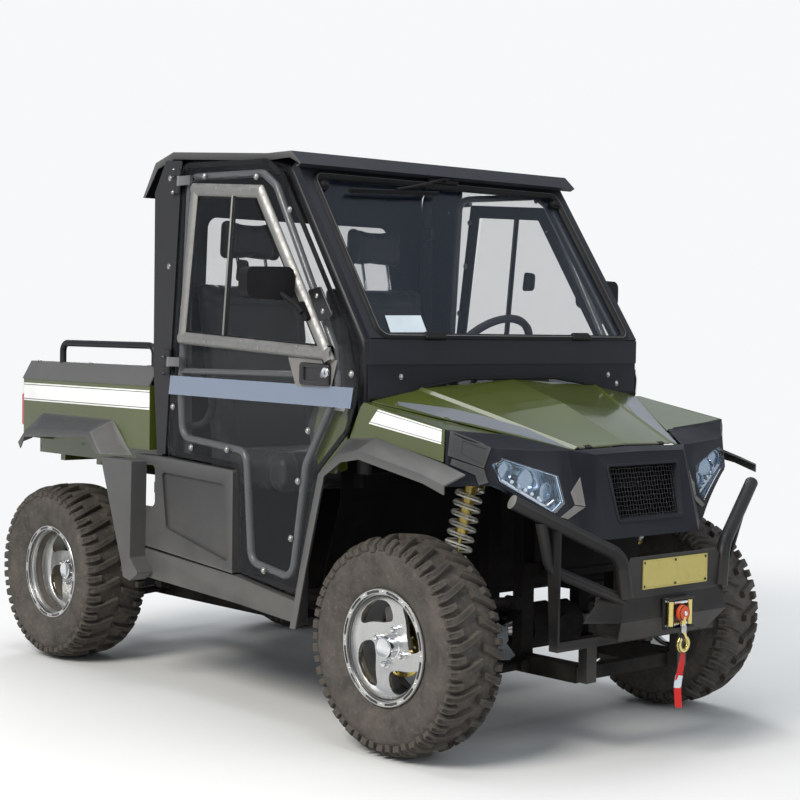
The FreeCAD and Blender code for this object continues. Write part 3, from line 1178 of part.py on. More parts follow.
band = box((cowl_x - 14, -frame_half, S.cowl_kink_z), (cowl_x + 4, frame_half, S.glass_low_z - 9))
keep("screen_frame", [fuse([ring, cowl, band])])


def shrink(points, by):
    cy = sum(p[0] for p in points) / len(points)
    cv = sum(p[1] for p in points) / len(points)
    return [(y - math.copysign(by, y - cy), v - math.copysign(by, v - cv)) for y, v in points]


glass = plate3d([on_screen(y, v, 6) for y, v in shrink(glass_pts, S.pin_gap)],
                normal_in * S.glass_thickness, 34)

# Rear wall of the cab, its pillar plates and the rear window
wall_x = R(643) + S.pin_gap
window = [(-430, 1150), (430, 1150), (415, 1590), (-415, 1590)]
wall = slab("YZ", [(-S.cab_half_width, seat_low), (S.cab_half_width, seat_low),
                   (S.cab_half_width - 8, S.wall_top_z),
                   (-S.cab_half_width + 8, S.wall_top_z)], R(640) - S.pin_gap - 3, R(640) - S.pin_gap, 10,
                   holes=[(window, 40)])
rear_glass = slab("YZ", shrink(window, S.pin_gap), R(636), R(636) + 4, 40)
pillar = slab("XZ", [(R(640) - 3, 1660), (R(640) - 3, 1080), (R(662), 792), (R(715) - S.door_gap, 792),
                     (R(795) - S.door_gap, S.roof_rear_z - 30),
                     (R(700), S.roof_rear_z - 24)], -S.door_outer_y, -S.door_outer_y + 3)
pillar_return = box((R(640) - 3, -S.door_outer_y + 2, 1082), (R(640), -S.cab_half_width + 4, 1650))
keep("rear_wall", [fuse([wall] + both([pillar, pillar_return]))])
keep("cab_glass", [glass, rear_glass])

# Doors: the right one is drawn and the left one is its mirror image
door_y = -S.door_outer_y
pane_in = door_y + S.glass_thickness
door_line = [(R(715), S.sill_z + 5), (F(-745), S.sill_z - 13), (F(-735), S.door_low_z + 20),
             (F(-430), S.door_low_z - 20),
             (F(-350), 786), (F(-215), 910), (F(-180), 1000), (F(-175), 1060), (F(-220), 1214),
             (F(-530), 1690),
             (F(-610), 1738), (R(795), 1748)]
door_radii = [40, 20, 24, 34, 80, 60, 60, 60, 80, 60, 60, 26]
window_out = [(R(855), 1680), (F(-620), 1655), (F(-265), 1120), (R(785), 1160)]
window_in = [(R(855) + 50, 1680 - 46), (F(-620) - 26, 1655 - 44), (F(-265) - 92, 1120 + 47),
             (R(785) + 46, 1160 + 43)]
pane_hole = [(R(855) + 14, 1680 - 14), (F(-620) - 8, 1655 - 13), (F(-265) - 30, 1120 + 14),
             (R(785) + 14, 1160 + 13)]
pane = slab("XZ", door_line, door_y, pane_in, door_radii, holes=[(pane_hole, 22)])
window_ring = slab("XZ", window_out, door_y - S.pin_gap, door_y - S.pin_gap - S.window_depth,
                   [30, 30, 8, 30],
                   holes=[(window_in, [20, 16, 6, 20])])
divider_top, divider_low = (F(-756), 1632), (F(-798), 1190)
divider = slab("XZ", [(divider_top[0] - 10, divider_top[1] + 8), (divider_top[0] + 10, divider_top[1] + 8),
                      (divider_low[0] + 10, divider_low[1] - 8), (divider_low[0] - 10, divider_low[1] - 8)],
               door_y - 4, door_y - S.window_depth + 2)
window_frame = window_ring.fuse(divider)


def between(a, b, share):
    return (a[0] + (b[0] - a[0]) * share, a[1] + (b[1] - a[1]) * share)


gap = S.pin_gap


def beside_divider(z, way):
    """A point beside the divider's edge at a height, behind (-1) or ahead (1)."""
    share = (z - divider_low[1] + 8) / (divider_top[1] - divider_low[1] + 16)
    return between(divider_low, divider_top, share)[0] + way * (10 + gap), z


def along_window(i, j, x):
    """The height of the window's inner edge between two of its corners."""
    a, b = window_in[i], window_in[j]
    return a[1] + (b[1] - a[1]) * (x - a[0]) / (b[0] - a[0])


low_z = along_window(3, 2, divider_low[0]) + 2 * gap
top_z = along_window(0, 1, divider_top[0]) - 2 * gap
rear_light = [(window_in[0][0] + gap, window_in[0][1] - 2 * gap), beside_divider(top_z, -1),
              beside_divider(low_z, -1),
              (window_in[3][0] + gap, window_in[3][1] + 2 * gap)]
front_light = [beside_divider(top_z - 3, 1), (window_in[1][0] - 4 * gap, window_in[1][1] - 4 * gap),
               (window_in[2][0] - 8, window_in[2][1] + 4 * gap), beside_divider(low_z, 1)]
light_y = door_y - 10
lights = [slab("XZ", outline, light_y, light_y - 4, radii)
          for outline, radii in ((rear_light, [20, 4, 4, 20]), (front_light, [4, 16, 6, 4]))]
tube_line = [(R(772), 1000), (R(786), 852), (F(-712), 826), (F(-680), 482), (F(-476), 452), (F(-418), 806),
             (F(-272), 1040), (F(-288), 1150), (F(-575), 1650), (F(-640), 1694), (R(815), 1702)]
tube_y = pane_in + S.pin_gap + S.door_tube_radius
loop = corner_wire([vec(x, tube_y, z) for x, z in tube_line], 46)

def closed_tube(wire, radius):
    """A round tube round a closed path, joined from runs and bends."""
    parts = []
    for edge in wire.Edges:
        a, b = edge.Vertexes[0].Point, edge.Vertexes[-1].Point
        direction = edge.tangentAt(edge.FirstParameter)
        ring = Part.Wire(Part.makeCircle(radius, edge.valueAt(edge.FirstParameter), direction))
        parts.append(Part.Wire([edge]).makePipeShell([ring], True, False))
    return parts[0].multiFuse(parts[1:]).removeSplitter()


door_tube = closed_tube(loop, S.door_tube_radius)
cross_bar = rod((R(781), tube_y, 1070), (F(-276), tube_y, 1078), S.door_tube_radius - 2)
hinge_at = [(R(787), S.hinge_top_z), (R(738), S.hinge_low_z)]
hinge_dir = vec(hinge_at[0][0] - hinge_at[1][0], 0, hinge_at[0][1] - hinge_at[1][1]).normalize()
leaves, posts = [], []
for x, z in hinge_at:
    centre = vec(x, -hinge_y, z)
    def pin(a, b, radius):
        p, q = centre + hinge_dir * a, centre + hinge_dir * b
        return rod((p.x, p.y, p.z), (q.x, q.y, q.z), radius)
    leaf = pin(-16, 16, 8).fuse(box((x, -hinge_y - 3, z - 15), (x + 62, door_y, z + 15)))
    leaf = leaf.cut(pin(-20, 20, 5 + S.pin_gap))
    leaves.append(leaf)
    post = fuse([pin(16 + S.pin_gap, 40, 8), pin(-40, -16 - S.pin_gap, 8), pin(-40, 40, 5),
                 box((x - 44, -hinge_y - 3, z + 18), (x, door_y, z + 38)),
                 box((x - 44, -hinge_y - 3, z - 38), (x, door_y, z - 18))])
    posts.append(post)
latch = fuse([slab("XZ", [(F(-420), 1112), (F(-290), 1108), (F(-290), 1050), (F(-420), 1050)], door_y - gap,
                   door_y - 12, 8)
              .cut(slab("XZ", [(F(-405), 1102), (F(-335), 1102), (F(-335), 1060), (F(-405), 1060)],
                        door_y - 6, door_y - 14, 6)),
              rod((F(-312), door_y - 1, 1080), (F(-312), door_y - 16, 1080), 9)])
mirror_x, mirror_z = F(-450), 1350
mirror_head = slab("YZ", [(-S.mirror_inner, mirror_z - 50), (-S.mirror_inner, mirror_z + 50),
                          (-S.mirror_inner - S.mirror_reach, mirror_z + 46),
                          (-S.mirror_inner - S.mirror_reach, mirror_z - 46)], mirror_x - 30, mirror_x + 12,
                          26)
mirror_arm = tube([(F(-387), door_y - S.window_depth - 14, 1264), (F(-405), door_y - 40, 1285),
                   (mirror_x + 4, -S.mirror_inner - 50, mirror_z - 30)], 9, 20)
mirror_foot = slab("XZ", [(F(-378), 1236), (F(-412), 1288), (F(-396), 1298), (F(-362), 1246)],
                   door_y - S.window_depth - 2 * S.pin_gap, door_y - S.window_depth - 14, 4)
mirror_piece = fuse([mirror_head, mirror_arm, mirror_foot])
right_door = {"frame": [fuse([door_tube, cross_bar]), leaves[0], leaves[1], latch],
              "glass": [pane] + lights, "window": [window_frame], "mirror": [mirror_piece]}
for part_name, shapes in right_door.items():
    keep("door_right_" + part_name, shapes)
    keep("door_left_" + part_name, [mirror_y(s) for s in shapes])
pair_shape("door_hinges", posts)

# Bed: double-walled sides, floor, headboard and the beams it tips on
bed_front, bed_rear = R(S.bed_front_x), R(S.bed_rear_x)
bed_y, bed_in, t = S.body_half_width + 4, S.bed_inner_y, S.bed_sheet
channel = [(-bed_y, S.bed_side_z), (-bed_y, S.bed_top_z), (-bed_in, S.bed_top_z),
           (-bed_in, S.bed_floor_z - t),
           (-bed_in - t, S.bed_floor_z - t), (-bed_in - t, S.bed_top_z - t), (-bed_y + t, S.bed_top_z - t),
           (-bed_y + t, S.bed_side_z)]
side = slab("YZ", channel, bed_rear, bed_front)
end_cap = block((bed_rear, -bed_y + 1, S.bed_side_z), (bed_rear + t, -bed_in - 1, S.bed_top_z - 1))
gate_hole = bar((bed_rear + 10, -bed_in - 20, S.gate_pin_z), (bed_rear + 10, -bed_in + 20, S.gate_pin_z),
                S.gate_pin_radius + S.pin_gap)
side = cut(joined([stored(side), end_cap]), gate_hole)
floor_plate = block((bed_rear + 30, -bed_in - 1, S.bed_floor_z - t), (bed_front, bed_in + 1, S.bed_floor_z))
headboard = block((bed_front - t, -bed_in - t, S.bed_floor_z - t), (bed_front, bed_in + t, S.bed_top_z))
headboard = joined([headboard, block((bed_front - t, -bed_y, S.bed_side_z),
                                     (bed_front, bed_y, S.bed_top_z))])
runner = block((R(-170), -S.rail_y - 20, deck_z + S.pin_gap),
               (bed_front - 20, -S.rail_y + 20, S.bed_floor_z - t + 1))
runner = cut(runner, bar((R(-150), -S.rail_y - 30, S.tilt_pin_z), (R(-150), -S.rail_y + 30, S.tilt_pin_z),
                        S.tilt_pin_radius + S.pin_gap))
ribs = [block((x, -bed_in - 1, S.bed_floor_z - t - 22), (x + 30, bed_in + 1, S.bed_floor_z - t + 1))
        for x in (R(-60), R(180), R(420))]
keep_object("bed_box", joined(both_sides([side, runner]) + [floor_plate, headboard] + ribs))
cap = [(-bed_y - 4, S.bed_top_z + gap), (-bed_y + 34, S.bed_cap_z), (-bed_in - 4, S.bed_cap_z),
       (-bed_in + 4, S.bed_top_z + gap), (-bed_in, S.bed_top_z + gap), (-bed_in - 7, S.bed_cap_z - 4),
       (-bed_y + 36, S.bed_cap_z - 4), (-bed_y, S.bed_top_z + gap)]
side_cap = slab("YZ", cap, bed_rear - 4, bed_front)
front_cap = slab("XZ", [(bed_front, S.bed_top_z + gap), (bed_front, S.bed_cap_z),
                        (bed_front - 34, S.bed_cap_z),
                        (bed_front - 44, S.bed_top_z + gap), (bed_front - 40, S.bed_top_z + gap),
                        (bed_front - 31, S.bed_cap_z - 4), (bed_front - 4, S.bed_cap_z - 4),
                        (bed_front - 4, S.bed_top_z + gap)],
                 -bed_in - 6, bed_in + 6)
keep("bed_caps", [fuse(both([side_cap]) + [front_cap])])
rail_y = -bed_in - 36
rail = tube([(R(8), rail_y, S.bed_cap_z + gap), (R(8), rail_y, S.bed_rail_z),
             (R(590), rail_y, S.bed_rail_z),
             (R(590), rail_y, S.bed_cap_z + gap)], S.bed_rail_radius, 34)
pair_shape("bed_rails", [rail])
lamp = tray("YZ", [(-bed_y + 6, 840), (-bed_in - 8, 840), (-bed_in - 8, 960), (-bed_y + 6, 960)],
            bed_rear - 22, bed_rear - gap, 3, 10)
pair_shape("tail_lamps", [lamp])

# Tailgate: a pressed skin on two pins
gate_half = bed_in - 3
gate_line = [(-gate_half, S.gate_pin_z - 8), (gate_half, S.gate_pin_z - 8), (gate_half, S.bed_top_z - 6),
             (-gate_half, S.bed_top_z - 6)]
gate = tray("YZ", gate_line, bed_rear, bed_rear + 22, 4, 10)
gate_ribs = [box((bed_rear + 3, y - 15, S.gate_pin_z - 5), (bed_rear + 21, y + 15,
                                                            S.bed_top_z - 9)) for y in (-300, 0, 300)]
gate_pins = [rod((bed_rear + 10, s * (gate_half - 30), S.gate_pin_z),
                 (bed_rear + 10, s * (bed_in + 4), S.gate_pin_z), S.gate_pin_radius)
             for s in (-1, 1)]
handle = slab("YZ", [(-80, 930), (80, 930), (80, 975), (-80, 975)], bed_rear - 12, bed_rear + 1, 12)
keep("tailgate", [fuse([gate, handle] + gate_ribs + gate_pins)])


def finish():
    doc.recompute()
    failed = [obj.Label for obj in doc.Objects if set(obj.State) & {"Invalid", "Error"}]
    bad = [obj.Label for obj in KEPT if obj.Shape.isNull() or not obj.Shape.isValid() or not obj.Shape.Solids]
    if failed or bad:
        raise RuntimeError(f"not computed: {failed}; not a valid solid: {bad}")
    os.makedirs("parts", exist_ok=True)
    for obj in KEPT:
        obj.Shape.exportStep(f"parts/{obj.Label}.step")


finish()
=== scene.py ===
"""The looks of a side by side utility vehicle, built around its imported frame."""

import json
import math
from itertools import product

import bmesh
import bpy
from mathutils import Matrix, Vector
from mathutils.bvhtree import BVHTree


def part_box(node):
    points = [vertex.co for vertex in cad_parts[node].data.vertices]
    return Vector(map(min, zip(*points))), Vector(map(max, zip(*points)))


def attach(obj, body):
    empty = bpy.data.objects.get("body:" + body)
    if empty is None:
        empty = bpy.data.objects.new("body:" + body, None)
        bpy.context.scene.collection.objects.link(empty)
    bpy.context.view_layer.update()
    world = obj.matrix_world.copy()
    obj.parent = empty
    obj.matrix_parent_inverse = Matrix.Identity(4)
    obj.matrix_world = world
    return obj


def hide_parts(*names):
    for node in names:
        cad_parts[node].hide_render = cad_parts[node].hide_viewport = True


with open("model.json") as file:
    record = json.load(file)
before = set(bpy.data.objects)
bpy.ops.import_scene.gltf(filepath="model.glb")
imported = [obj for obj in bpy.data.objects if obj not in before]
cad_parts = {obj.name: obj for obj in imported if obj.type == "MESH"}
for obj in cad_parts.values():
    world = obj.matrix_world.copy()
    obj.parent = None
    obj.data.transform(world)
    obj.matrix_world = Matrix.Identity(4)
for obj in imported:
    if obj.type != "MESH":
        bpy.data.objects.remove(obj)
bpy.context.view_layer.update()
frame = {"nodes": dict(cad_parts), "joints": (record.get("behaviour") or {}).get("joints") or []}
NODES = frame["nodes"]
JOINTS = {joint["name"]: joint for joint in frame["joints"]}
SIDES = (("left", 1), ("right", -1))

# Stations of the frame: the two axles and their height
FRONT = JOINTS["wheel_front_left"]["pos_m"][0]
REAR = JOINTS["wheel_rear_left"]["pos_m"][0]
AXLE_Z = JOINTS["wheel_front_left"]["pos_m"][2]


# Camera, floor, backdrop and light

PHOTO_SIZE = 800
FOCAL_PIXELS = 1725
CAMERA_PLACE = (FRONT + 3.573, -3.939, 1.221)
CAMERA_YAW = 139.07
CAMERA_PITCH = -2.70
CAMERA_ROLL = 0.81
PHOTO_CENTRE = (341.73, 408.62)
SENSOR = 36.0


def link(name, data):
    """A new object with its data, in the scene."""
    made = bpy.data.objects.new(name, data)
    bpy.context.scene.collection.objects.link(made)
    return made


def make_camera():
    """The photograph's viewpoint, solved from the wheels and the body's known sizes."""
    data = bpy.data.cameras.new("photo_camera")
    camera = link("photo_camera", data)
    yaw, pitch, roll = (math.radians(a) for a in (CAMERA_YAW, CAMERA_PITCH, CAMERA_ROLL))
    ahead = Vector((math.cos(yaw) * math.cos(pitch), math.sin(yaw) * math.cos(pitch), math.sin(pitch)))
    right = ahead.cross(Vector((0, 0, 1))).normalized()
    up = right.cross(ahead)
    tilted = right * math.cos(roll) + up * math.sin(roll)
    upright = up * math.cos(roll) - right * math.sin(roll)
    turn = Matrix((tilted, upright, -ahead)).transposed().to_4x4()
    camera.matrix_world = Matrix.Translation(CAMERA_PLACE) @ turn
    data.sensor_width = SENSOR
    data.lens = FOCAL_PIXELS * SENSOR / PHOTO_SIZE
    data.shift_x = (PHOTO_SIZE / 2 - PHOTO_CENTRE[0]) / PHOTO_SIZE
    data.shift_y = (PHOTO_CENTRE[1] - PHOTO_SIZE / 2) / PHOTO_SIZE
    bpy.context.scene.camera = camera


FLOOR_HALF = 60.0
FLOOR_FADE = (1.9, 4.6)
FLOOR_TONE = (0.66, 0.66, 0.65, 1)
BACKGROUND = (0.93, 0.94, 0.95, 1)
SKY_LIGHT = (0.86, 0.92, 1.0, 1)
SKY_STRENGTH = 0.55


def add_math(tree, operation, first, second):
    """The result of a math node with two sockets."""
    node = tree.nodes.new("ShaderNodeMath")
    node.operation = operation
    tree.links.new(first, node.inputs[0])
    tree.links.new(second, node.inputs[1])
    return node.outputs[0]


def seen_rays(tree, others):
    """1 where the camera looks, or a ray of another named kind."""
    path = tree.nodes.new("ShaderNodeLightPath")
    seen = path.outputs["Is Camera Ray"]
    for name in others:
        seen = add_math(tree, "MAXIMUM", seen, path.outputs[name])
    return seen


def show_mixed(tree, share, first, second, output):
    """Mixes two shaders by a share into the output's surface."""
    mix = tree.nodes.new("ShaderNodeMixShader")
    for slot, socket in zip(mix.inputs, (share, first.outputs[0], second.outputs[0])):
        tree.links.new(socket, slot)
    tree.links.new(mix.outputs[0], output.inputs["Surface"])


def make_stage():
    """A plain pale floor that runs out to the background's own tone, so that no horizon shows."""
    mesh = bpy.data.meshes.new("floor")
    corners = [(x * FLOOR_HALF, y * FLOOR_HALF, 0) for x, y in ((-1, -1), (1, -1), (1, 1), (-1, 1))]
    mesh.from_pydata(corners, [], [(0, 1, 2, 3)])
    floor = link("floor", mesh)
    material = bpy.data.materials.new("floor")
    material.use_nodes = True
    tree = material.node_tree
    shader = tree.nodes["Principled BSDF"]
    shader.inputs["Base Color"].default_value = FLOOR_TONE
    shader.inputs["Roughness"].default_value = 0.9
    shader.inputs["Specular IOR Level"].default_value = 0.1
    distance = tree.nodes.new("ShaderNodeVectorMath")
    distance.operation = "LENGTH"
    tree.links.new(tree.nodes.new("ShaderNodeNewGeometry").outputs["Position"], distance.inputs[0])
    far = tree.nodes.new("ShaderNodeMapRange")
    far.interpolation_type = "SMOOTHERSTEP"
    far.inputs["From Min"].default_value, far.inputs["From Max"].default_value = FLOOR_FADE
    tree.links.new(distance.outputs["Value"], far.inputs["Value"])
    seen = seen_rays(tree, ("Is Transmission Ray", "Is Glossy Ray"))
    share = add_math(tree, "MULTIPLY", far.outputs[0], seen)
    glow = tree.nodes.new("ShaderNodeEmission")
    glow.inputs["Color"].default_value = BACKGROUND
    show_mixed(tree, share, shader, glow, tree.nodes["Material Output"])
    mesh.materials.append(material)


def make_world():
    """An even pale sky: what the camera sees, through glass too, is near white; the light stays plain."""
    world = bpy.data.worlds.new("studio")
    bpy.context.scene.world = world
    world.use_nodes = True
    tree = world.node_tree
    for node in list(tree.nodes):
        tree.nodes.remove(node)
    layers = []
    for colour, strength in ((SKY_LIGHT, SKY_STRENGTH), (BACKGROUND, 1.0)):
        layer = tree.nodes.new("ShaderNodeBackground")
        layer.inputs["Color"].default_value = colour
        layer.inputs["Strength"].default_value = strength
        layers.append(layer)
    seen = seen_rays(tree, ("Is Transmission Ray",))
    show_mixed(tree, seen, *layers, tree.nodes.new("ShaderNodeOutputWorld"))


# name, place, what it points at, size, watts, colour
LAMPS = (
    ("key", (1.5, -6.0, 5.5), (0.0, 0.0, 0.8), 3.2, 560, (1.0, 0.97, 0.92)),
    ("fill", (7.0, 1.5, 3.5), (0.3, 0.0, 0.8), 4.0, 95, (0.9, 0.95, 1.0)),
    ("back", (-6.0, 4.0, 5.0), (0.0, 0.0, 1.0), 3.5, 260, (0.95, 0.97, 1.0)),
    ("top", (0.0, 0.0, 6.5), (0.0, 0.0, 1.0), 4.5, 180, (1.0, 1.0, 1.0)),
)


def make_lamps():
    """Round soft lamps, each turned to what it lights."""
    for name, place, target, size, watts, colour in LAMPS:
        data = bpy.data.lights.new(name, "AREA")
        data.shape = "DISK"
        data.size = size
        data.energy = watts
        data.color = colour
        lamp = link(name, data)
        lamp.location = place
        lamp.rotation_euler = (Vector(target) - Vector(place)).to_track_quat("-Z", "Y").to_euler()


make_camera()
make_stage()
make_world()
make_lamps()
bpy.context.scene.view_settings.view_transform = "Standard"


# Materials

SHADER_INPUTS = {
    "colour": "Base Color", "roughness": "Roughness", "metallic": "Metallic", "normal": "Normal",
    "coat": "Coat Weight", "coat_roughness": "Coat Roughness", "sheen": "Sheen Weight",
    "specular": "Specular IOR Level", "alpha": "Alpha",
}


class Graph:
    """A material's node tree with short ways to add the nodes that the finishes share."""

    def __init__(self, name):
        self.material = bpy.data.materials.new(name)
        self.material.use_nodes = True
        self.tree = self.material.node_tree
        self.shader = self.tree.nodes["Principled BSDF"]
        self.place = self.tree.nodes.new("ShaderNodeTexCoord").outputs["Object"]

    def add(self, kind, inputs=None, **settings):
        node = self.tree.nodes.new("ShaderNode" + kind)
        for key, value in settings.items():
            setattr(node, key, value)
        for key, value in (inputs or {}).items():
            self.give(node.inputs[key], value)
        return node

    def give(self, slot, value):
        if isinstance(value, bpy.types.NodeSocket):
            self.tree.links.new(value, slot)
        elif slot.type == "RGBA":
            slot.default_value = (*value[:3], 1)
        else:
            slot.default_value = value

    def set(self, **values):
        for key, value in values.items():
            self.give(self.shader.inputs[SHADER_INPUTS[key]], value)

    def noise(self, scale, detail=3.0, roughness=0.55, stretch=None):
        place = self.place
        if stretch:
            place = self.add("Mapping", {"Vector": self.place, "Scale": stretch}).outputs[0]
        inputs = {"Vector": place, "Scale": scale, "Detail": detail, "Roughness": roughness}
        return self.add("TexNoise", inputs).outputs["Fac"]

    def ramp(self, value, low, high, out_low=0.0, out_high=1.0):
        """Maps a value between two limits to another pair, and stops at both."""
        return self.add("MapRange", {"Value": value, "From Min": low, "From Max": high,
                                     "To Min": out_low, "To Max": out_high}).outputs[0]

    def mix(self, share, first, second):
        node = self.add("Mix", data_type="RGBA")
        self.give(node.inputs[0], share)
        self.give(node.inputs[6], first)
        self.give(node.inputs[7], second)
        return node.outputs[2]

    def math(self, operation, first, second):
        node = self.add("Math", operation=operation)
        self.give(node.inputs[0], first)
        self.give(node.inputs[1], second)
        return node.outputs[0]

    def bump(self, height, distance):
        return self.add("Bump", {"Height": height, "Strength": 1.0, "Distance": distance}).outputs[0]

    def edges(self, low=0.52, high=0.6):
        """Where the surface is convex, for wear along edges."""
        return self.ramp(self.add("NewGeometry").outputs["Pointiness"], low, high)

    def height(self):
        return self.add("SeparateXYZ", {"Vector": self.place}).outputs["Z"]


def scaled(colour, factor):
    return tuple(min(1.0, c * factor) for c in colour)


DUST = (0.20, 0.17, 0.13)


def paint(name, colour, roughness, grain=0.0, grain_scale=900, coat=0.0, metallic=0.0, wear=None, dust=0.0,
          specular=0.5):
    """A painted or moulded finish: uneven tone, orange peel or moulded grain, worn edges and dust low down."""
    g = Graph(name)
    tone = g.ramp(g.noise(3.0, 4), 0.3, 0.7)
    shade = g.mix(tone, scaled(colour, 0.86), scaled(colour, 1.14))
    if wear:
        shade = g.mix(g.math("MULTIPLY", g.edges(), 0.55), shade, wear)
    if dust:
        low = g.ramp(g.height(), 0.75, 0.25)
        patchy = g.ramp(g.noise(9.0, 6, 0.65), 0.35, 0.75)
        shade = g.mix(g.math("MULTIPLY", g.math("MULTIPLY", low, patchy), dust), shade, DUST)
    rough = g.ramp(g.noise(14.0, 5), 0.25, 0.75, roughness * 0.88, min(1.0, roughness * 1.15))
    g.set(colour=shade, roughness=rough, metallic=metallic, coat=coat, coat_roughness=0.06, specular=specular)
    if grain:
        g.set(normal=g.bump(g.noise(grain_scale, 2), grain))
    return g.material


def metal(name, colour, roughness, brushed=0.0, dirt=0.25):
    """Bare or anodised metal with fine machining and some grime."""
    g = Graph(name)
    grime = g.ramp(g.noise(22.0, 6, 0.7), 0.5, 0.8, 0.0, dirt)
    g.set(colour=g.mix(grime, colour, scaled(colour, 0.35)), metallic=1.0,
          roughness=g.ramp(g.noise(60.0, 4), 0.3, 0.7, roughness * 0.8, roughness * 1.3))
    if brushed:
        g.set(normal=g.bump(g.noise(1.0, 2, stretch=(900, 60, 900)), brushed))
    return g.material


def turned(name, colour, roughness):
    """Machined alloy, turned about the wheel's own axis, which is the object's Y axis."""
    g = Graph(name)
    parts = g.add("SeparateXYZ", {"Vector": g.place}).outputs
    flat = g.add("CombineXYZ", {"X": parts["X"], "Z": parts["Z"]}).outputs[0]
    radius = g.add("VectorMath", {0: flat}, operation="LENGTH").outputs["Value"]
    rings = g.add("TexNoise", {"W": g.math("MULTIPLY", radius, 1400.0), "Scale": 1.0, "Detail": 2.0},
                  noise_dimensions="1D").outputs["Fac"]
    grime = g.ramp(g.noise(16.0, 6, 0.7), 0.5, 0.85, 0.0, 0.4)
    g.set(colour=g.mix(grime, colour, (0.25, 0.23, 0.2)), metallic=1.0,
          roughness=g.ramp(rings, 0.3, 0.7, roughness * 0.75, roughness * 1.3),
          normal=g.bump(rings, 0.00004))
    return g.material


def glass(name, tint, alpha, roughness=0.02):
    """A thin pane: tinted, see-through, with full gloss and faint smears."""
    g = Graph(name)
    smear = g.ramp(g.noise(5.0, 6, 0.7), 0.35, 0.8, roughness, roughness + 0.05)
    g.set(colour=tint, roughness=smear, alpha=alpha, specular=1.0, coat=1.0, coat_roughness=0.02)
    return g.material


def rubber(name, colour, dusty):
    """Tyre rubber: nearly black in the tread, browned by dust on the lugs and the sidewall."""
    g = Graph(name)
    patchy = g.ramp(g.noise(11.0, 8, 0.7), 0.3, 0.75)
    speck = g.ramp(g.noise(70.0, 6, 0.7), 0.55, 0.75)
    proud = g.edges(0.49, 0.56)
    browned = g.math("MAXIMUM", g.math("MULTIPLY", patchy, 0.75), g.math("MULTIPLY", proud, 0.6))
    share = g.math("MULTIPLY", browned, dusty)
    shade = g.mix(share, colour, (0.135, 0.115, 0.095))
    shade = g.mix(g.math("MULTIPLY", speck, 0.35 * dusty), shade, (0.26, 0.21, 0.15))
    g.set(colour=shade, roughness=g.ramp(g.noise(30.0, 5), 0.3, 0.7, 0.66, 0.9),
          normal=g.bump(g.noise(420.0, 4, 0.7), 0.0004), specular=0.35)
    return g.material


def webbing(name, colour):
    """Woven strap: crossing threads in the colour and in the bump."""
    g = Graph(name)
    parts = g.add("SeparateXYZ", {"Vector": g.place})
    threads = [g.math("SINE", g.math("MULTIPLY", parts.outputs[axis], 2600.0), 0.0) for axis in "XZ"]
    weave = g.math("MULTIPLY", threads[0], threads[1])
    g.set(colour=g.mix(g.ramp(weave, -1, 1), scaled(colour, 0.7), scaled(colour, 1.3)), roughness=0.75, sheen=0.3,
          normal=g.bump(weave, 0.0003), specular=0.25)
    return g.material


def leather(name, colour):
    """Seat vinyl: pebbled grain, a soft gloss where it is rubbed, and a sheen."""
    g = Graph(name)
    pebbles = g.add("TexVoronoi", {"Vector": g.place, "Scale": 420.0}).outputs["Distance"]
    rubbed = g.ramp(g.noise(7.0, 4), 0.35, 0.7)
    g.set(colour=g.mix(rubbed, scaled(colour, 0.8), scaled(colour, 1.35)),
          roughness=g.ramp(rubbed, 0, 1, 0.58, 0.42), normal=g.bump(pebbles, 0.00025), sheen=0.15,
          specular=0.4)
    return g.material


GREEN = (0.050, 0.064, 0.009)
CHARCOAL = (0.040, 0.0405, 0.041)
# Painted shade and sky reflection: the grey plastic in navy, as its faces in shade show it
SKY_SHADE_NAVY = (0.0065, 0.0075, 0.0115)
STRIPE = (0.78, 0.78, 0.76)

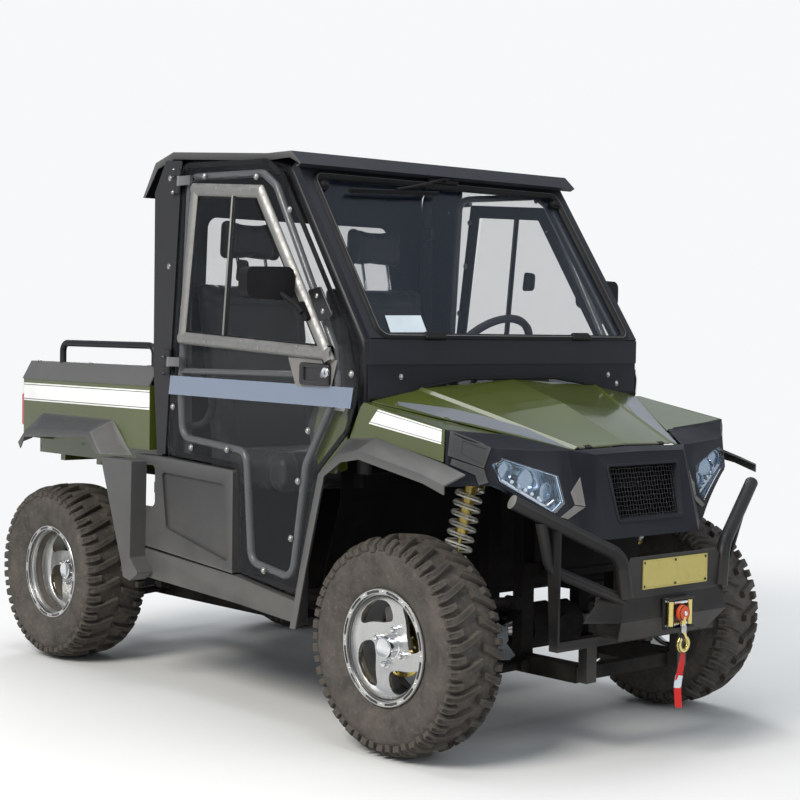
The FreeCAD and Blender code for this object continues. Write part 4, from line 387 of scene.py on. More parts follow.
LOOKS = {
    "green": paint("green", GREEN, 0.24, 0.00004, 160, coat=0.6, dust=0.2),
    "charcoal": paint("charcoal", CHARCOAL, 0.48, 0.00012, 1500, wear=(0.12, 0.118, 0.115), dust=0.3,
                      specular=0.4),
    # Painted shade: a navy copy of the charcoal plastic for faces turned from the light
    "blue_black": paint("blue_black", SKY_SHADE_NAVY, 0.46, 0.00008, 1500, wear=(0.030, 0.032, 0.038), specular=0.15),
    "cab_black": paint("cab_black", (0.007, 0.0075, 0.009), 0.42, 0.00006, 500, wear=(0.035, 0.035, 0.035),
                       specular=0.25),
    "frame_black": paint("frame_black", (0.006, 0.006, 0.0065), 0.45, 0.00008, 500, wear=(0.04, 0.038, 0.035),
                         dust=0.12, specular=0.25),
    # Painted shade: a darker copy of the frame's black paint for the underbody, which lies in shadow
    "under_black": paint("under_black", (0.0028, 0.0028, 0.003), 0.6, 0.0001, 500, dust=0.10, specular=0.12),
    "inside_black": paint("inside_black", (0.016, 0.016, 0.017), 0.6, 0.0001, 1300),
    "door_steel": paint("door_steel", (0.085, 0.088, 0.092), 0.36, 0.00005, 600, coat=0.2, wear=(0.2, 0.2, 0.2)),
    # Painted highlight: pale bluish grey laid on the hood where it catches the light
    "silver_band": paint("silver_band", (0.115, 0.127, 0.145), 0.32, 0.00003, 400, coat=0.4),
    "light_grey": paint("light_grey", (0.125, 0.118, 0.11), 0.42, 0.0001, 1400, wear=(0.2, 0.19, 0.18)),
    "white": paint("white", STRIPE, 0.3, 0.00002, 300, coat=0.4),
    # Dark lines: printed pinlines, and painted shade for the nose covers' grooves and the lock's keyhole
    "pinline": paint("pinline", (0.02, 0.02, 0.02), 0.3, coat=0.4),
    "spring_white": paint("spring_white", (0.80, 0.79, 0.72), 0.3, coat=0.5, dust=0.15),
    "red": paint("red", (0.62, 0.02, 0.012), 0.35, coat=0.4),
    "orange": paint("orange", (0.62, 0.07, 0.012), 0.5),
    "lamp_red": paint("lamp_red", (0.42, 0.010, 0.008), 0.12, coat=1.0),
    "amber": paint("amber", (0.7, 0.22, 0.01), 0.15, coat=1.0),
    "cast": paint("cast", (0.10, 0.10, 0.105), 0.55, 0.0003, 700, metallic=0.6, dust=0.6),
    "alloy": turned("alloy", (0.55, 0.55, 0.54), 0.36),
    # Alloy of the door windows; on the windscreen's rubber it is a painted highlight
    "window_alloy": metal("window_alloy", (0.30, 0.295, 0.285), 0.55, 0.00003),
    "chrome": metal("chrome", (0.74, 0.75, 0.77), 0.11, dirt=0.15),
    "steel": metal("steel", (0.52, 0.51, 0.5), 0.3),
    "zinc": metal("zinc", (0.42, 0.42, 0.41), 0.35),
    "gold": metal("gold", (0.62, 0.46, 0.13), 0.3),
    "brass": metal("brass", (0.72, 0.6, 0.22), 0.28),
    "plate_gold": metal("plate_gold", (0.50, 0.43, 0.15), 0.34, 0.00004),
    "rubber": rubber("rubber", (0.012, 0.0115, 0.011), 0.75),
    "sidewall": rubber("sidewall", (0.030, 0.028, 0.026), 1.0),
    "satin_black": paint("satin_black", (0.009, 0.009, 0.0095), 0.3, 0.00003, 900, coat=0.2),
    "lens_white": paint("lens_white", (0.7, 0.76, 0.82), 0.1, coat=1.0),
    "guard_grey": paint("guard_grey", (0.36, 0.40, 0.43), 0.5, dust=0.2),
    "paper": paint("paper", (0.50, 0.56, 0.60), 0.5, 0.00002, 800),
    "foam": paint("foam", (0.020, 0.020, 0.021), 0.85, 0.0006, 500, specular=0.2),
    "webbing": webbing("webbing", (0.016, 0.016, 0.018)),
    "strap_red": webbing("strap_red", (0.52, 0.014, 0.012)),
    "vinyl": leather("vinyl", (0.014, 0.014, 0.0145)),
    # Painted reflection: the dishes' metal tinted blue and darkened for the sky they reflect
    "reflector": metal("reflector", (0.30, 0.38, 0.48), 0.16, dirt=0.2),
    "trim_rubber": paint("trim_rubber", (0.006, 0.006, 0.0065), 0.6, 0.0001, 900, specular=0.2),
    "screen_glass": glass("screen_glass", (0.004, 0.014, 0.034), 0.17),
    "door_glass": glass("door_glass", (0.02, 0.026, 0.032), 0.08),
    "lens_glass": glass("lens_glass", (0.25, 0.38, 0.52), 0.07),
    "mirror_glass": metal("mirror_glass", (0.85, 0.88, 0.9), 0.02, dirt=0.05),
    # Painted reflection: a bluish translucent tint for the reflection across the door panes
    "haze": glass("haze", (0.17, 0.22, 0.31), 0.72, 0.12),
}

NODE_LOOKS = {
    "frame_black": ("front_bumper", "winch"),
    # The underbody takes the darker black as painted shade
    "under_black": ("chassis_frame", "frame_front", "frame_rear", "hitch", "front_arms", "rear_arms",
                    "steering_rack", "drivetrain", "floor_pan"),
    "cast": ("rear_uprights", "knuckle_left", "knuckle_right"),
    "gold": ("dampers",),
    "spring_white": ("springs",),
    "steel": ("half_shafts",),
    "charcoal": ("rocker_panels", "side_panels", "flare_legs", "front_flares", "bed_flares", "bed_caps"),
    "green": ("front_fenders", "hood", "bed_box", "tailgate"),
    # Nose, roof and screen frame take the navy painted shade of the grey plastic
    "blue_black": ("nose", "roof", "screen_frame"),
    "inside_black": ("dash", "steering_wheel", "grille", "seat_cushions", "seat_backs"),
    "cab_black": ("roll_cage", "rear_wall", "door_hinges", "bed_rails"),
    "door_steel": ("door_left_frame", "door_right_frame"),
    "window_alloy": ("door_left_window", "door_right_window"),
    "trim_rubber": ("door_left_mirror", "door_right_mirror"),
    # The headlamps' dishes carry the blue painted sky reflection
    "reflector": ("headlamps",),
    "lens_glass": ("headlamp_lenses",),
    "screen_glass": ("cab_glass",),
    "door_glass": ("door_left_glass", "door_right_glass"),
    "lamp_red": ("tail_lamps",),
    "red": ("winch_strap",),
    "rubber": ("tyre_front_left", "tyre_front_right", "tyre_rear_left", "tyre_rear_right"),
    "alloy": ("rim_front_left", "rim_front_right", "rim_rear_left", "rim_rear_right"),
}


def dress_nodes():
    """Gives every node of the frame one look in all its slots."""
    for look, names in NODE_LOOKS.items():
        for name in names:
            slots = NODES[name].data.materials
            if not slots:
                slots.append(LOOKS[look])
            for index in range(len(slots)):
                slots[index] = LOOKS[look]


dress_nodes()


# Ways of making pieces

def finish_mesh(bm, name, look, smooth=40.0):
    """Turns a bmesh into a piece with its look; edges sharper than the angle stay sharp."""
    bmesh.ops.recalc_face_normals(bm, faces=bm.faces)
    mesh = bpy.data.meshes.new(name)
    bm.to_mesh(mesh)
    bm.free()
    for material in ([look] if isinstance(look, str) else look):
        mesh.materials.append(LOOKS[material])
    mesh.polygons.foreach_set("use_smooth", [True] * len(mesh.polygons))
    if smooth:
        mesh.set_sharp_from_angle(angle=math.radians(smooth))
    return link(name, mesh)


def place(piece, body, slot, stands_for=()):
    """Lets a piece ride a body and stand for nodes of the frame; its slot is not used."""
    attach(piece, body)
    if stands_for:
        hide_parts(*stands_for)
    return piece


def add_piece(bm, name, look, body, slot, stands_for=(), smooth=40.0):
    """Turns a bmesh into a piece that rides a body."""
    return place(finish_mesh(bm, name, look, smooth), body, slot, stands_for)


def skin_rings(bm, rings, closed=True, looped=False, material=0):
    """Faces between rings of vertices.

    A closed ring joins its ends, and a looped set joins its last ring to its first.
    """
    count = len(rings[0])
    pairs = list(zip(rings, rings[1:])) + ([(rings[-1], rings[0])] if looped else [])
    for first, second in pairs:
        for i in range(count if closed else count - 1):
            j = (i + 1) % count
            face = bm.faces.new((first[i], first[j], second[j], second[i]))
            face.material_index = material


def closed_skin(bm, rings, material=0):
    """Faces between rings of vertices, with both ends closed."""
    skin_rings(bm, rings, material=material)
    for ring in (rings[0][::-1], rings[-1]):
        bm.faces.new(ring).material_index = material


def spin(bm, profile, steps, material=0):
    """A closed ring turned about the Y axis from (y, radius) points."""
    rings = []
    for k in range(steps):
        angle = math.tau * k / steps
        rings.append([bm.verts.new((r * math.cos(angle), y, r * math.sin(angle))) for y, r in profile])
    skin_rings(bm, rings, looped=True, material=material)


def circle(bm, centre, side, up, radius, sides):
    """A ring of vertices round a centre."""
    return [bm.verts.new(centre + (side * math.cos(a) + up * math.sin(a)) * radius)
            for a in (math.tau * k / sides for k in range(sides))]


def smooth_path(points, radius=None, steps=6):
    """The points with round corners: each corner becomes an arc as large as its sides allow."""
    points = [Vector(p) for p in points]
    out = [points[0]]
    for before, corner, after in zip(points, points[1:], points[2:]):
        a, b = before - corner, after - corner
        turn = a.angle(b)
        reach = min(0.48 * a.length, 0.48 * b.length)
        if radius:
            reach = min(reach, radius / math.tan(turn / 2))
        start, end = corner + a.normalized() * reach, corner + b.normalized() * reach
        for k in range(steps + 1):
            t = k / steps
            out.append(start * (1 - t) ** 2 + corner * 2 * t * (1 - t) + end * t * t)
    out.append(points[-1])
    return out


def frames_along(path):
    """Point, side and up at each point of a path, turned as little as possible on the way."""
    tangents = []
    for i in range(len(path)):
        ahead = path[min(i + 1, len(path) - 1)] - path[max(i - 1, 0)]
        tangents.append(ahead.normalized())
    side = tangents[0].orthogonal().normalized()
    out = []
    for point, tangent in zip(path, tangents):
        side = (side - tangent * side.dot(tangent)).normalized()
        out.append((point, side, tangent.cross(side)))
    return out


def sweep_tube(bm, path, radius, sides=14, material=0):
    """A round bar along a path, closed at both ends."""
    closed_skin(bm, [circle(bm, point, side, up, radius, sides) for point, side, up in frames_along(path)],
                material)


def disc(bm, centre, axis, profile, sides=16, material=0):
    """A turned form such as a bolt head, closed at both ends.

    Its profile is (height, radius) points along an axis from its foot.
    """
    axis = Vector(axis).normalized()
    side = axis.orthogonal().normalized()
    closed_skin(bm, [circle(bm, Vector(centre) + axis * height, side, axis.cross(side), radius, sides)
                     for height, radius in profile], material)


def round_head(radius, height):
    """The profile of a domed bolt head on a thin washer."""
    return ((0, radius * 1.25), (height * 0.2, radius * 1.25), (height * 0.2, radius),
            (height * 0.6, radius * 0.95), (height * 0.9, radius * 0.65), (height, radius * 0.2))


def hex_bolt(bm, centre, axis, size, height):
    """A six-sided bolt head on its washer."""
    disc(bm, centre, axis, ((0, size * 1.3), (height * 0.2, size * 1.3)), 16)
    foot = Vector(centre) + Vector(axis).normalized() * height * 0.2
    disc(bm, foot, axis, ((0, size), (height * 0.65, size), (height * 0.8, size * 0.85)), 6)


def box_mesh(bm, low, high, material=0):
    """A box between two opposite corners."""
    corners = [bm.verts.new(corner) for corner in product(*zip(low, high))]
    for quad in ((0, 1, 3, 2), (4, 6, 7, 5), (0, 4, 5, 1), (2, 3, 7, 6), (0, 2, 6, 4), (1, 5, 7, 3)):
        bm.faces.new([corners[i] for i in quad]).material_index = material


def bevelled(piece, width, segments=2, angle=35.0):
    """Rounds a piece's sharp edges with a modifier."""
    modifier = piece.modifiers.new("bevel", "BEVEL")
    modifier.width = width
    modifier.segments = segments
    modifier.limit_method = "ANGLE"
    modifier.angle_limit = math.radians(angle)
    modifier.harden_normals = True
    return piece


# Wheels

TYRE_RADIUS = AXLE_Z
TREAD_DEPTH = 0.017
LUGS = 26
WAIST_RADIUS = 0.240
WAIST_DROP = 0.112
CROWN_RADIUS = TYRE_RADIUS - TREAD_DEPTH
SHOULDER_POWER = 2 / 2.9
WALL_POWER = 0.9
# axle, half the tyre's width, its centre plane
TYRES = (("front", 0.101, 0.588), ("rear", 0.123, 0.542))
TURN_STEPS = 96


def carcass(half, angle, lift=0.0):
    """A point (y, radius) on the tyre's section, lifted off it by a distance.

    The angle is 90 degrees at the crown, 0 at the widest and below 0 to the bead.
    """
    def at(a):
        share, rise = math.cos(a), math.sin(a)
        if rise >= 0:
            return (half * abs(share) ** SHOULDER_POWER,
                    WAIST_RADIUS + (CROWN_RADIUS - WAIST_RADIUS) * rise ** SHOULDER_POWER)
        return half * abs(share) ** WALL_POWER, WAIST_RADIUS + WAIST_DROP * rise

    y, r = at(angle)
    if lift:
        (y0, r0), (y1, r1) = at(angle + 0.02), at(angle - 0.02)
        run = math.hypot(y1 - y0, r1 - r0)
        y, r = y - lift * (r1 - r0) / run, r + lift * (y1 - y0) / run
    return y, r


# Stations of a lug: section angle, place along the circumference, width, recess
LONG_LUG = ((89.0, 0.000, 0.020, 0), (80.0, 0.012, 0.021, 0), (66.0, 0.024, 0.022, 0), (54.0, 0.031, 0.023, 0),
            (47.0, 0.033, 0.025, 0), (44.0, 0.033, 0.026, 1), (36.0, 0.033, 0.026, 1), (33.0, 0.033, 0.026, 0),
            (27.0, 0.033, 0.026, 0))
SHORT_LUG = ((62.0, -0.006, 0.019, 0), (54.0, -0.003, 0.020, 0), (46.0, 0.000, 0.022, 0), (43.0, 0.000, 0.022, 1),
             (35.0, 0.000, 0.022, 1), (32.0, 0.000, 0.022, 0), (22.0, 0.000, 0.020, 0))
# Across a lug: share of its width, share of its height
LUG_SECTION = ((-0.62, -0.15), (-0.5, 0.86), (-0.42, 1.0), (-0.27, 1.0), (-0.2, 1.0), (0.2, 1.0),
               (0.27, 1.0), (0.42, 1.0), (0.5, 0.86), (0.62, -0.15))
RECESS = 0.82
LUG_END = 0.35
SHORT_SHARE = 0.92
SHORT_LAG = 0.033


def add_lug(bm, half, stations, base_angle, side, height):
    """A lug over its stations; the last one runs down to a low end."""
    rings = []
    last = len(stations) - 1
    for k, (section, along, width, recess) in enumerate(stations):
        fade = LUG_END if k == last else 1.0
        ring = []
        for across, rise in LUG_SECTION:
            deep = RECESS if recess and abs(across) <= 0.2 else 1.0
            y, r = carcass(half, math.radians(section), height * rise * deep * fade)
            turn = base_angle + (along + across * width) / TYRE_RADIUS
            ring.append(bm.verts.new((r * math.cos(turn), side * y, r * math.sin(turn))))
        rings.append(ring)
    skin_rings(bm, rings, closed=False)
    bm.faces.new(rings[0])
    bm.faces.new(rings[-1])


def make_tyre(name, half):
    """A tyre's mesh: a carcass with ribbed sidewalls, long lugs that lean in and short ones between."""
    bm = bmesh.new()
    angles = [90 - 4.5 * k for k in range(35)]
    outer = [carcass(half, math.radians(a)) for a in angles]
    # Two raised rings on the sidewall and one at the rim
    for index, lift in ((17, 0.0), (21, 0.0018), (22, 0.0018), (30, 0.003), (31, 0.003)):
        outer[index] = carcass(half, math.radians(angles[index]), lift)
    mirrored = [(-y, r) for y, r in outer[::-1]] + outer[1:]
    inside = [(y * 0.8, min(r, CROWN_RADIUS - 0.014)) for y, r in mirrored[::-1]]
    spin(bm, mirrored + inside, TURN_STEPS, 1)
    pitch = math.tau / LUGS
    for side in (1, -1):
        for k in range(LUGS):
            base = pitch * k + (pitch * 0.5 if side < 0 else 0.0)
            add_lug(bm, half, LONG_LUG, base, side, TREAD_DEPTH)
            add_lug(bm, half, SHORT_LUG, base + pitch * 0.5 + SHORT_LAG / TYRE_RADIUS, side,
                    TREAD_DEPTH * SHORT_SHARE)
    return finish_mesh(bm, name, ("rubber", "sidewall"), 35)


def table_at(table, x):
    """The value of a table of (x, value) rows at x, straight between rows."""
    for (x0, v0), (x1, v1) in zip(table, table[1:]):
        if x <= x1:
            return v0 + (v1 - v0) * max(0.0, (x - x0) / (x1 - x0))
    return table[-1][1]


def pierced_ring(bm, inner, outer, count, low, high, half_low, half_high, swirl, phase, surface, thickness,
                 power=3.0, rows=12, columns=8, material=0):
    """A dished plate about Y with a ring of windows that lean round as they go out.

    low and high are the windows' radii, half_low and half_high their half angles there, swirl the lean in
    radians a metre, surface gives y at a radius, and thickness goes back from it.
    """
    radii = [inner + (low - inner) * k / 3 for k in range(3)]
    radii += [(low + high) / 2 - (high - low) / 2 * math.cos(math.pi * k / rows) for k in range(rows + 1)]
    radii += [high + (outer - high) * k / 3 for k in (1, 2, 3)]
    rings = []
    for r in radii:
        t = (r - low) / (high - low)
        half = 0.0
        if 0 < t < 1:
            half = (half_low + (half_high - half_low) * t) * (1 - abs(2 * t - 1) ** power) ** (1 / power)
        centre = phase + swirl * (r - (low + high) / 2)
        sectors = []
        for s in range(count):
            start, end = centre + math.tau * s / count + half, centre + math.tau * (s + 1) / count - half
            angles = [start + (end - start) * c / columns for c in range(columns + 1)]
            y = surface(r)
            sectors.append([[bm.verts.new((r * math.cos(a), y - back, r * math.sin(a))) for a in angles]
                            for back in (0.0, thickness)])
        rings.append((half, sectors))

    def quad(*corners):
        bm.faces.new(corners).material_index = material

    for (half_a, near), (half_b, far) in zip(rings, rings[1:]):
        for (a_front, a_back), (b_front, b_back) in zip(near, far):
            for c in range(columns):
                quad(a_front[c], a_front[c + 1], b_front[c + 1], b_front[c])
                quad(a_back[c], b_back[c], b_back[c + 1], a_back[c + 1])
            if half_a or half_b:
                quad(a_front[0], b_front[0], b_back[0], a_back[0])
                quad(a_front[-1], a_back[-1], b_back[-1], b_front[-1])
    for sectors in (rings[0][1], rings[-1][1]):
        for front, back in sectors:
            for c in range(columns):
                quad(front[c], back[c], back[c + 1], front[c + 1])
    bmesh.ops.remove_doubles(bm, verts=bm.verts, dist=1e-6)


RIM_LIP = 0.168
RIM_WALL = 0.005
SEAT_RADIUS = 0.1497
DISH_INNER, DISH_OUTER = 0.030, 0.1445
# The wheel face: radius, and height over the face's own level
FACE = ((DISH_INNER, -0.008), (0.062, -0.008), (0.076, -0.006), (0.118, -0.002), (0.131, 0.000),
        (0.138, 0.004), (0.1425, 0.011), (DISH_OUTER, 0.020))
# axle, y of the lip, y of the face, y and length of the hub, y of the brake disc
RIMS = (("front", 0.0863, 0.0603, -0.0197, 0.0577, 0.008), ("rear", 0.0963, 0.0123, -0.0654, 0.0554, -0.0517))
NUT_CIRCLE = 0.055
LIP_BOLTS = 12
LIP_BOLT_CIRCLE = 0.1600
# Profiles about the wheel's axle: height, radius
CAP_PROFILE = ((0, 0.0355), (0.004, 0.0355), (0.006, 0.0325), (0.030, 0.0315), (0.034, 0.0300),
               (0.0355, 0.0265), (0.0345, 0.0235), (0.0335, 0.0005))
NUT_PROFILE = ((0, 0.0125), (0.003, 0.0115), (0.003, 0.0095), (0.013, 0.0090), (0.018, 0.0080),
               (0.0215, 0.0055), (0.0228, 0.0005))
HUB_BORE = 0.0153
DISC_HALF = 0.005
# The brake disc's two rings of holes: inner and outer radius, phase
DISC_RINGS = ((0.034, 0.0665, 0.0), (0.0660, 0.092, 15.0))
DISC_HOLE = 0.0055


def make_rim(name, lip, face):
    """The alloy wheel: its barrel, and the dished face with four swirled windows."""
    bm = bmesh.new()
    barrel = ((lip, RIM_LIP), (lip, 0.1625), (lip - 0.003, 0.1575), (lip - 0.012, 0.1500), (lip - 0.019, 0.1462),
              (face + 0.012, DISH_OUTER), (face - 0.016, 0.1440), (-lip + 0.010, 0.1440), (-lip, 0.1600),
              (-lip, RIM_LIP), (-lip + RIM_WALL, RIM_LIP), (-lip + RIM_WALL, SEAT_RADIUS),
              (lip - RIM_WALL, SEAT_RADIUS), (lip - RIM_WALL, RIM_LIP))
    spin(bm, barrel, TURN_STEPS)
    pierced_ring(bm, DISH_INNER, DISH_OUTER, 4, 0.070, 0.140, math.radians(22), math.radians(35), -7.2,
                 math.radians(63), lambda r: face + table_at(FACE, r), 0.012, rows=18, columns=12)
    disc(bm, (0, face - 0.026, 0), (0, 1, 0), ((0, 0.032), (0.0165, 0.032)), 48)
    return bevelled(finish_mesh(bm, name, ("alloy", "pinline"), 30), 0.0016, 2, 40)


def make_lip_ring(name, lip):
    """The bright ring bolted round the lip, with dark slots and small bolts between them."""
    bm = bmesh.new()
    spin(bm, ((lip - 0.001, 0.1535), (lip + 0.0012, 0.1535), (lip + 0.0012, 0.1665), (lip - 0.001, 0.1665)),
         TURN_STEPS, 1)
    slot_half = math.radians(9.5)
    pierced_ring(bm, 0.1530, 0.1675, LIP_BOLTS, 0.1558, 0.1640, slot_half, slot_half, 0.0, math.radians(15),
                 lambda r: lip + 0.0042 - 0.0016 * (r > 0.1670 or r < 0.1535), 0.0028, power=7.0, rows=10)
    for k in range(LIP_BOLTS):
        a = math.tau * k / LIP_BOLTS
        foot = (LIP_BOLT_CIRCLE * math.cos(a), lip + 0.0040, LIP_BOLT_CIRCLE * math.sin(a))
        disc(bm, foot, (0, 1, 0), round_head(0.0030, 0.0028), 10, 2)
    return finish_mesh(bm, name, ("alloy", "pinline", "steel"), 30)


def make_wheel_centre(name, face):
    """The chrome centre cap and the four domed nuts."""
    bm = bmesh.new()
    foot = face - 0.0085
    disc(bm, (0, foot, 0), (0, 1, 0), CAP_PROFILE, 48)
    for k in range(4):
        a = math.radians(20 + 90 * k)
        disc(bm, (NUT_CIRCLE * math.cos(a), foot, NUT_CIRCLE * math.sin(a)), (0, 1, 0), NUT_PROFILE, 24)
    return finish_mesh(bm, name, "chrome", 32)


def make_hub(name, low, length, disc_y):
    """The hub with its bore, and the drilled brake disc."""
    bm = bmesh.new()
    top = low + length
    spin(bm, ((top, HUB_BORE), (top, 0.062), (top - 0.009, 0.064), (top - 0.009, 0.038), (low, 0.037),
              (low, HUB_BORE)), 48)
    for inner, outer, phase in DISC_RINGS:
        middle = (inner + outer) / 2 + 0.002
        half = DISC_HOLE / middle
        pierced_ring(bm, inner, outer, 12, middle - DISC_HOLE, middle + DISC_HOLE, half, half, 0.0,
                     math.radians(phase), lambda r: disc_y + DISC_HALF, DISC_HALF, power=2.0, rows=8, columns=4,
                     material=1)
    return finish_mesh(bm, name, ("zinc", "gold"), 30)


def twin(piece, name):
    """Another object on the same mesh, with the same modifiers."""
    other = piece.copy()
    other.name = name
    bpy.context.scene.collection.objects.link(other)
    return other


def wheel_set():
    """Tyre, rim, lip ring, cap and hub of each wheel, made once an axle and placed on both sides."""
    for (axle, half, track), (_, lip, face, hub_low, hub_length, disc_y) in zip(TYRES, RIMS):
        x = FRONT if axle == "front" else REAR
        forms = (("tyre", make_tyre("tyre_form", half), "tyre", "tyre"),
                 ("wheel", make_rim("wheel_form", lip, face), "alloy", "rim"),
                 ("wheel_lip", make_lip_ring("lip_form", lip), "alloy", None),
                 ("wheel_cap", make_wheel_centre("cap_form", face), "alloy", None),
                 ("wheel_hub", make_hub("hub_form", hub_low, hub_length, disc_y), "damper", None))
        for kind, form, record_slot, node in forms:
            for name, side in SIDES:
                piece = twin(form, f"{kind}_{axle}_{name}_looks")
                piece.location = (x, side * track, AXLE_Z)
                piece.rotation_euler = (0, 0, 0 if side > 0 else math.pi)
                bpy.context.view_layer.update()
                place(piece, f"wheel_{axle}_{name}", record_slot, [f"{node}_{axle}_{name}"] if node else ())
            bpy.data.objects.remove(form)


wheel_set()


# Trim placed by the photograph: corners are its pixels, and each lands on the node that carries it

def sight(px, py):
    """The camera's place and the direction in which it sees a point of the photograph."""
    across = (px - PHOTO_CENTRE[0]) / FOCAL_PIXELS
    down = (py - PHOTO_CENTRE[1]) / FOCAL_PIXELS
    turn = bpy.context.scene.camera.matrix_world.to_3x3()
    return Vector(CAMERA_PLACE), (turn @ Vector((across, -down, -1.0))).normalized()


SURFACES = {}


def surface_of(node):
    """A search tree of a node's faces, built once."""
    if node not in SURFACES:
        mesh = NODES[node].data
        SURFACES[node] = BVHTree.FromPolygons([v.co for v in mesh.vertices], [p.vertices for p in mesh.polygons])
    return SURFACES[node]


def on_node(px, py, node):
    """Where the camera's ray through a point of the photograph meets a node, and the surface's normal there."""
    origin, way = sight(px, py)
    point, normal, _, _ = surface_of(node).ray_cast(origin, way)
    if point is None:
        low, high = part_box(node)
        reach = ((Vector(low) + Vector(high)) / 2 - origin).dot(way)
        point, normal, _, _ = surface_of(node).find_nearest(origin + way * reach)
    return point, (normal if normal.dot(way) < 0 else -normal)


def on_plane(px, py, axis, value):
    """Where the camera's ray through a point of the photograph meets a plane across an axis."""
    origin, way = sight(px, py)
    return origin + way * ((value - origin[axis]) / way[axis])


def blend_points(a, b, share):
    return tuple(p + (q - p) * share for p, q in zip(a, b))


def flip(point):
    return Vector((point[0], -point[1], point[2]))


def grid_plate(bm, top, bottom, material=0):
    """A thin closed plate between two grids of points."""
    upper = [[bm.verts.new(p) for p in row] for row in top]
    lower = [[bm.verts.new(p) for p in row] for row in bottom]
    rows, columns = len(top), len(top[0])
    faces = []
    for i in range(rows - 1):
        for j in range(columns - 1):
            faces.append((upper[i][j], upper[i + 1][j], upper[i + 1][j + 1], upper[i][j + 1]))
            faces.append((lower[i][j], lower[i][j + 1], lower[i + 1][j + 1], lower[i + 1][j]))
    for i in range(rows - 1):
        faces.append((upper[i][0], lower[i][0], lower[i + 1][0], upper[i + 1][0]))
        faces.append((upper[i][-1], upper[i + 1][-1], lower[i + 1][-1], lower[i][-1]))
    for j in range(columns - 1):
        faces.append((upper[0][j], upper[0][j + 1], lower[0][j + 1], lower[0][j]))
        faces.append((upper[-1][j], lower[-1][j], lower[-1][j + 1], upper[-1][j + 1]))
    for face in faces:
        bm.faces.new(face).material_index = material


STRIP_SINK = 0.0003


def lay_strip(bm, node, rows, lift, material=0, along=6, across=2):
    """A strip on a node's surface and its mirror image on the other side.

    Its rows are pairs of photograph points, one on each of its long edges.
    """
    samples = []
    for k, ((a0, b0), (a1, b1)) in enumerate(zip(rows, rows[1:])):
        for i in range(along + (k == len(rows) - 2)):
            a, b = blend_points(a0, a1, i / along), blend_points(b0, b1, i / along)
            samples.append([on_node(*blend_points(a, b, j / across), node) for j in range(across + 1)])
    for mirrored in (False, True):
        top, bottom = ([[flip(p + n * height) if mirrored else p + n * height for p, n in row] for row in samples]
                       for height in (lift, -STRIP_SINK))
        grid_plate(bm, top, bottom, material)


def between_edges(rows, low, high):
    """Part of a strip, between two shares of its width."""
    return [(blend_points(a, b, low), blend_points(a, b, high)) for a, b in rows]


def domes(bm, node, pixels, radius, height, sides=(1, -1), material=0):
    """Domed bolt heads where the photograph shows them on a node, there (1) or mirrored (-1)."""
    for pixel in pixels:
        point, normal = on_node(*pixel, node)
        for side in sides:
            foot, way = (point, normal) if side > 0 else (flip(point), flip(normal))
            disc(bm, foot - way * 0.0005, way, round_head(radius, height), 14, material)


FENDER_STRIPE = (((378.1, 409.4), (368.9, 423.6)), ((441.9, 429.4), (441.2, 444.3)))
PILLAR_STRIPE = (((337.9, 401.1), (333.3, 409.8)), ((348.9, 402.3), (347.8, 412.1)))
# A painted highlight: the pale bluish band where the hood catches the light, narrowing to nothing at both ends
HOOD_HIGHLIGHT = (((397.6, 401.6), (398.7, 405.3)), ((451.5, 408.5), (446.9, 419.0)), ((485.0, 416.5), (469.9, 423.6)),
             ((526.1, 428.2), (521.0, 435.6)), ((569.3, 448.0), (569.0, 448.9)))
NOSE_COVER = (((445.1, 429.4), (443.6, 454.0)), ((468.5, 438.5), (463.0, 461.0)), ((491.0, 447.6), (483.7, 468.4)))
COVER_LEG = (((443.6, 455.8), (443.6, 461.5)), ((483.9, 469.3), (475.2, 475.3)), ((490.8, 491.6), (481.0, 492.0)))
# The covers' grooves: dark strips a little proud of the cover, painted shade
COVER_GROOVE_SHADE = ((((462.3, 440.4), (463.1, 440.2)), ((460.6, 453.4), (461.5, 453.2)),
                 ((482.5, 465.4), (482.9, 464.5))),
                (((462.4, 440.1), (462.9, 440.9)), ((487.0, 449.0), (486.9, 449.9))))
LAMP_ACCENTS = ((((580.1, 477.0), (570.4, 492.5)), ((585.5, 506.6), (574.6, 504.9))),
                (((574.6, 505.7), (560.2, 517.5)), ((585.5, 507.2), (567.8, 519.5))))
PINLINE_SHARES = ((0.10, 0.135), (0.86, 0.895))
# The bed's stripe and its two pinlines: low and high edge, material, proud
BED_STRIPE = ((0.935, 1.000, 0, 0.0), (0.940, 0.9425, 1, 0.0003), (0.9925, 0.995, 1, 0.0003))


def side_strips():
    """White stripes with dark pinlines on the fender, its pillar and the bed; the hood's painted highlight band."""
    bm = bmesh.new()
    for rows, along in ((FENDER_STRIPE, 10), (PILLAR_STRIPE, 3)):
        lay_strip(bm, "front_fenders", rows, 0.0005, 0, along)
        for low, high in PINLINE_SHARES:
            lay_strip(bm, "front_fenders", between_edges(rows, low, high), 0.0008, 1, along, 1)
    add_piece(bm, "fender_stripes", ("white", "pinline"), "chassis", "green_body")
    bm = bmesh.new()
    # The hood's painted highlight
    lay_strip(bm, "hood", HOOD_HIGHLIGHT, 0.0006, 0, 6)
    add_piece(bm, "hood_painted_highlights", "silver_band", "hood", "green_body")
    bm = bmesh.new()
    for _, side in SIDES:
        y = side * (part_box("bed_box")[1][1] + 0.0004)
        for low, high, material, proud in BED_STRIPE:
            box_mesh(bm, (REAR - 0.198, y - side * 0.0007, low), (REAR + 0.618, y + side * proud, high), material)
    add_piece(bm, "bed_stripes", ("white", "pinline"), "bed", "green_body")


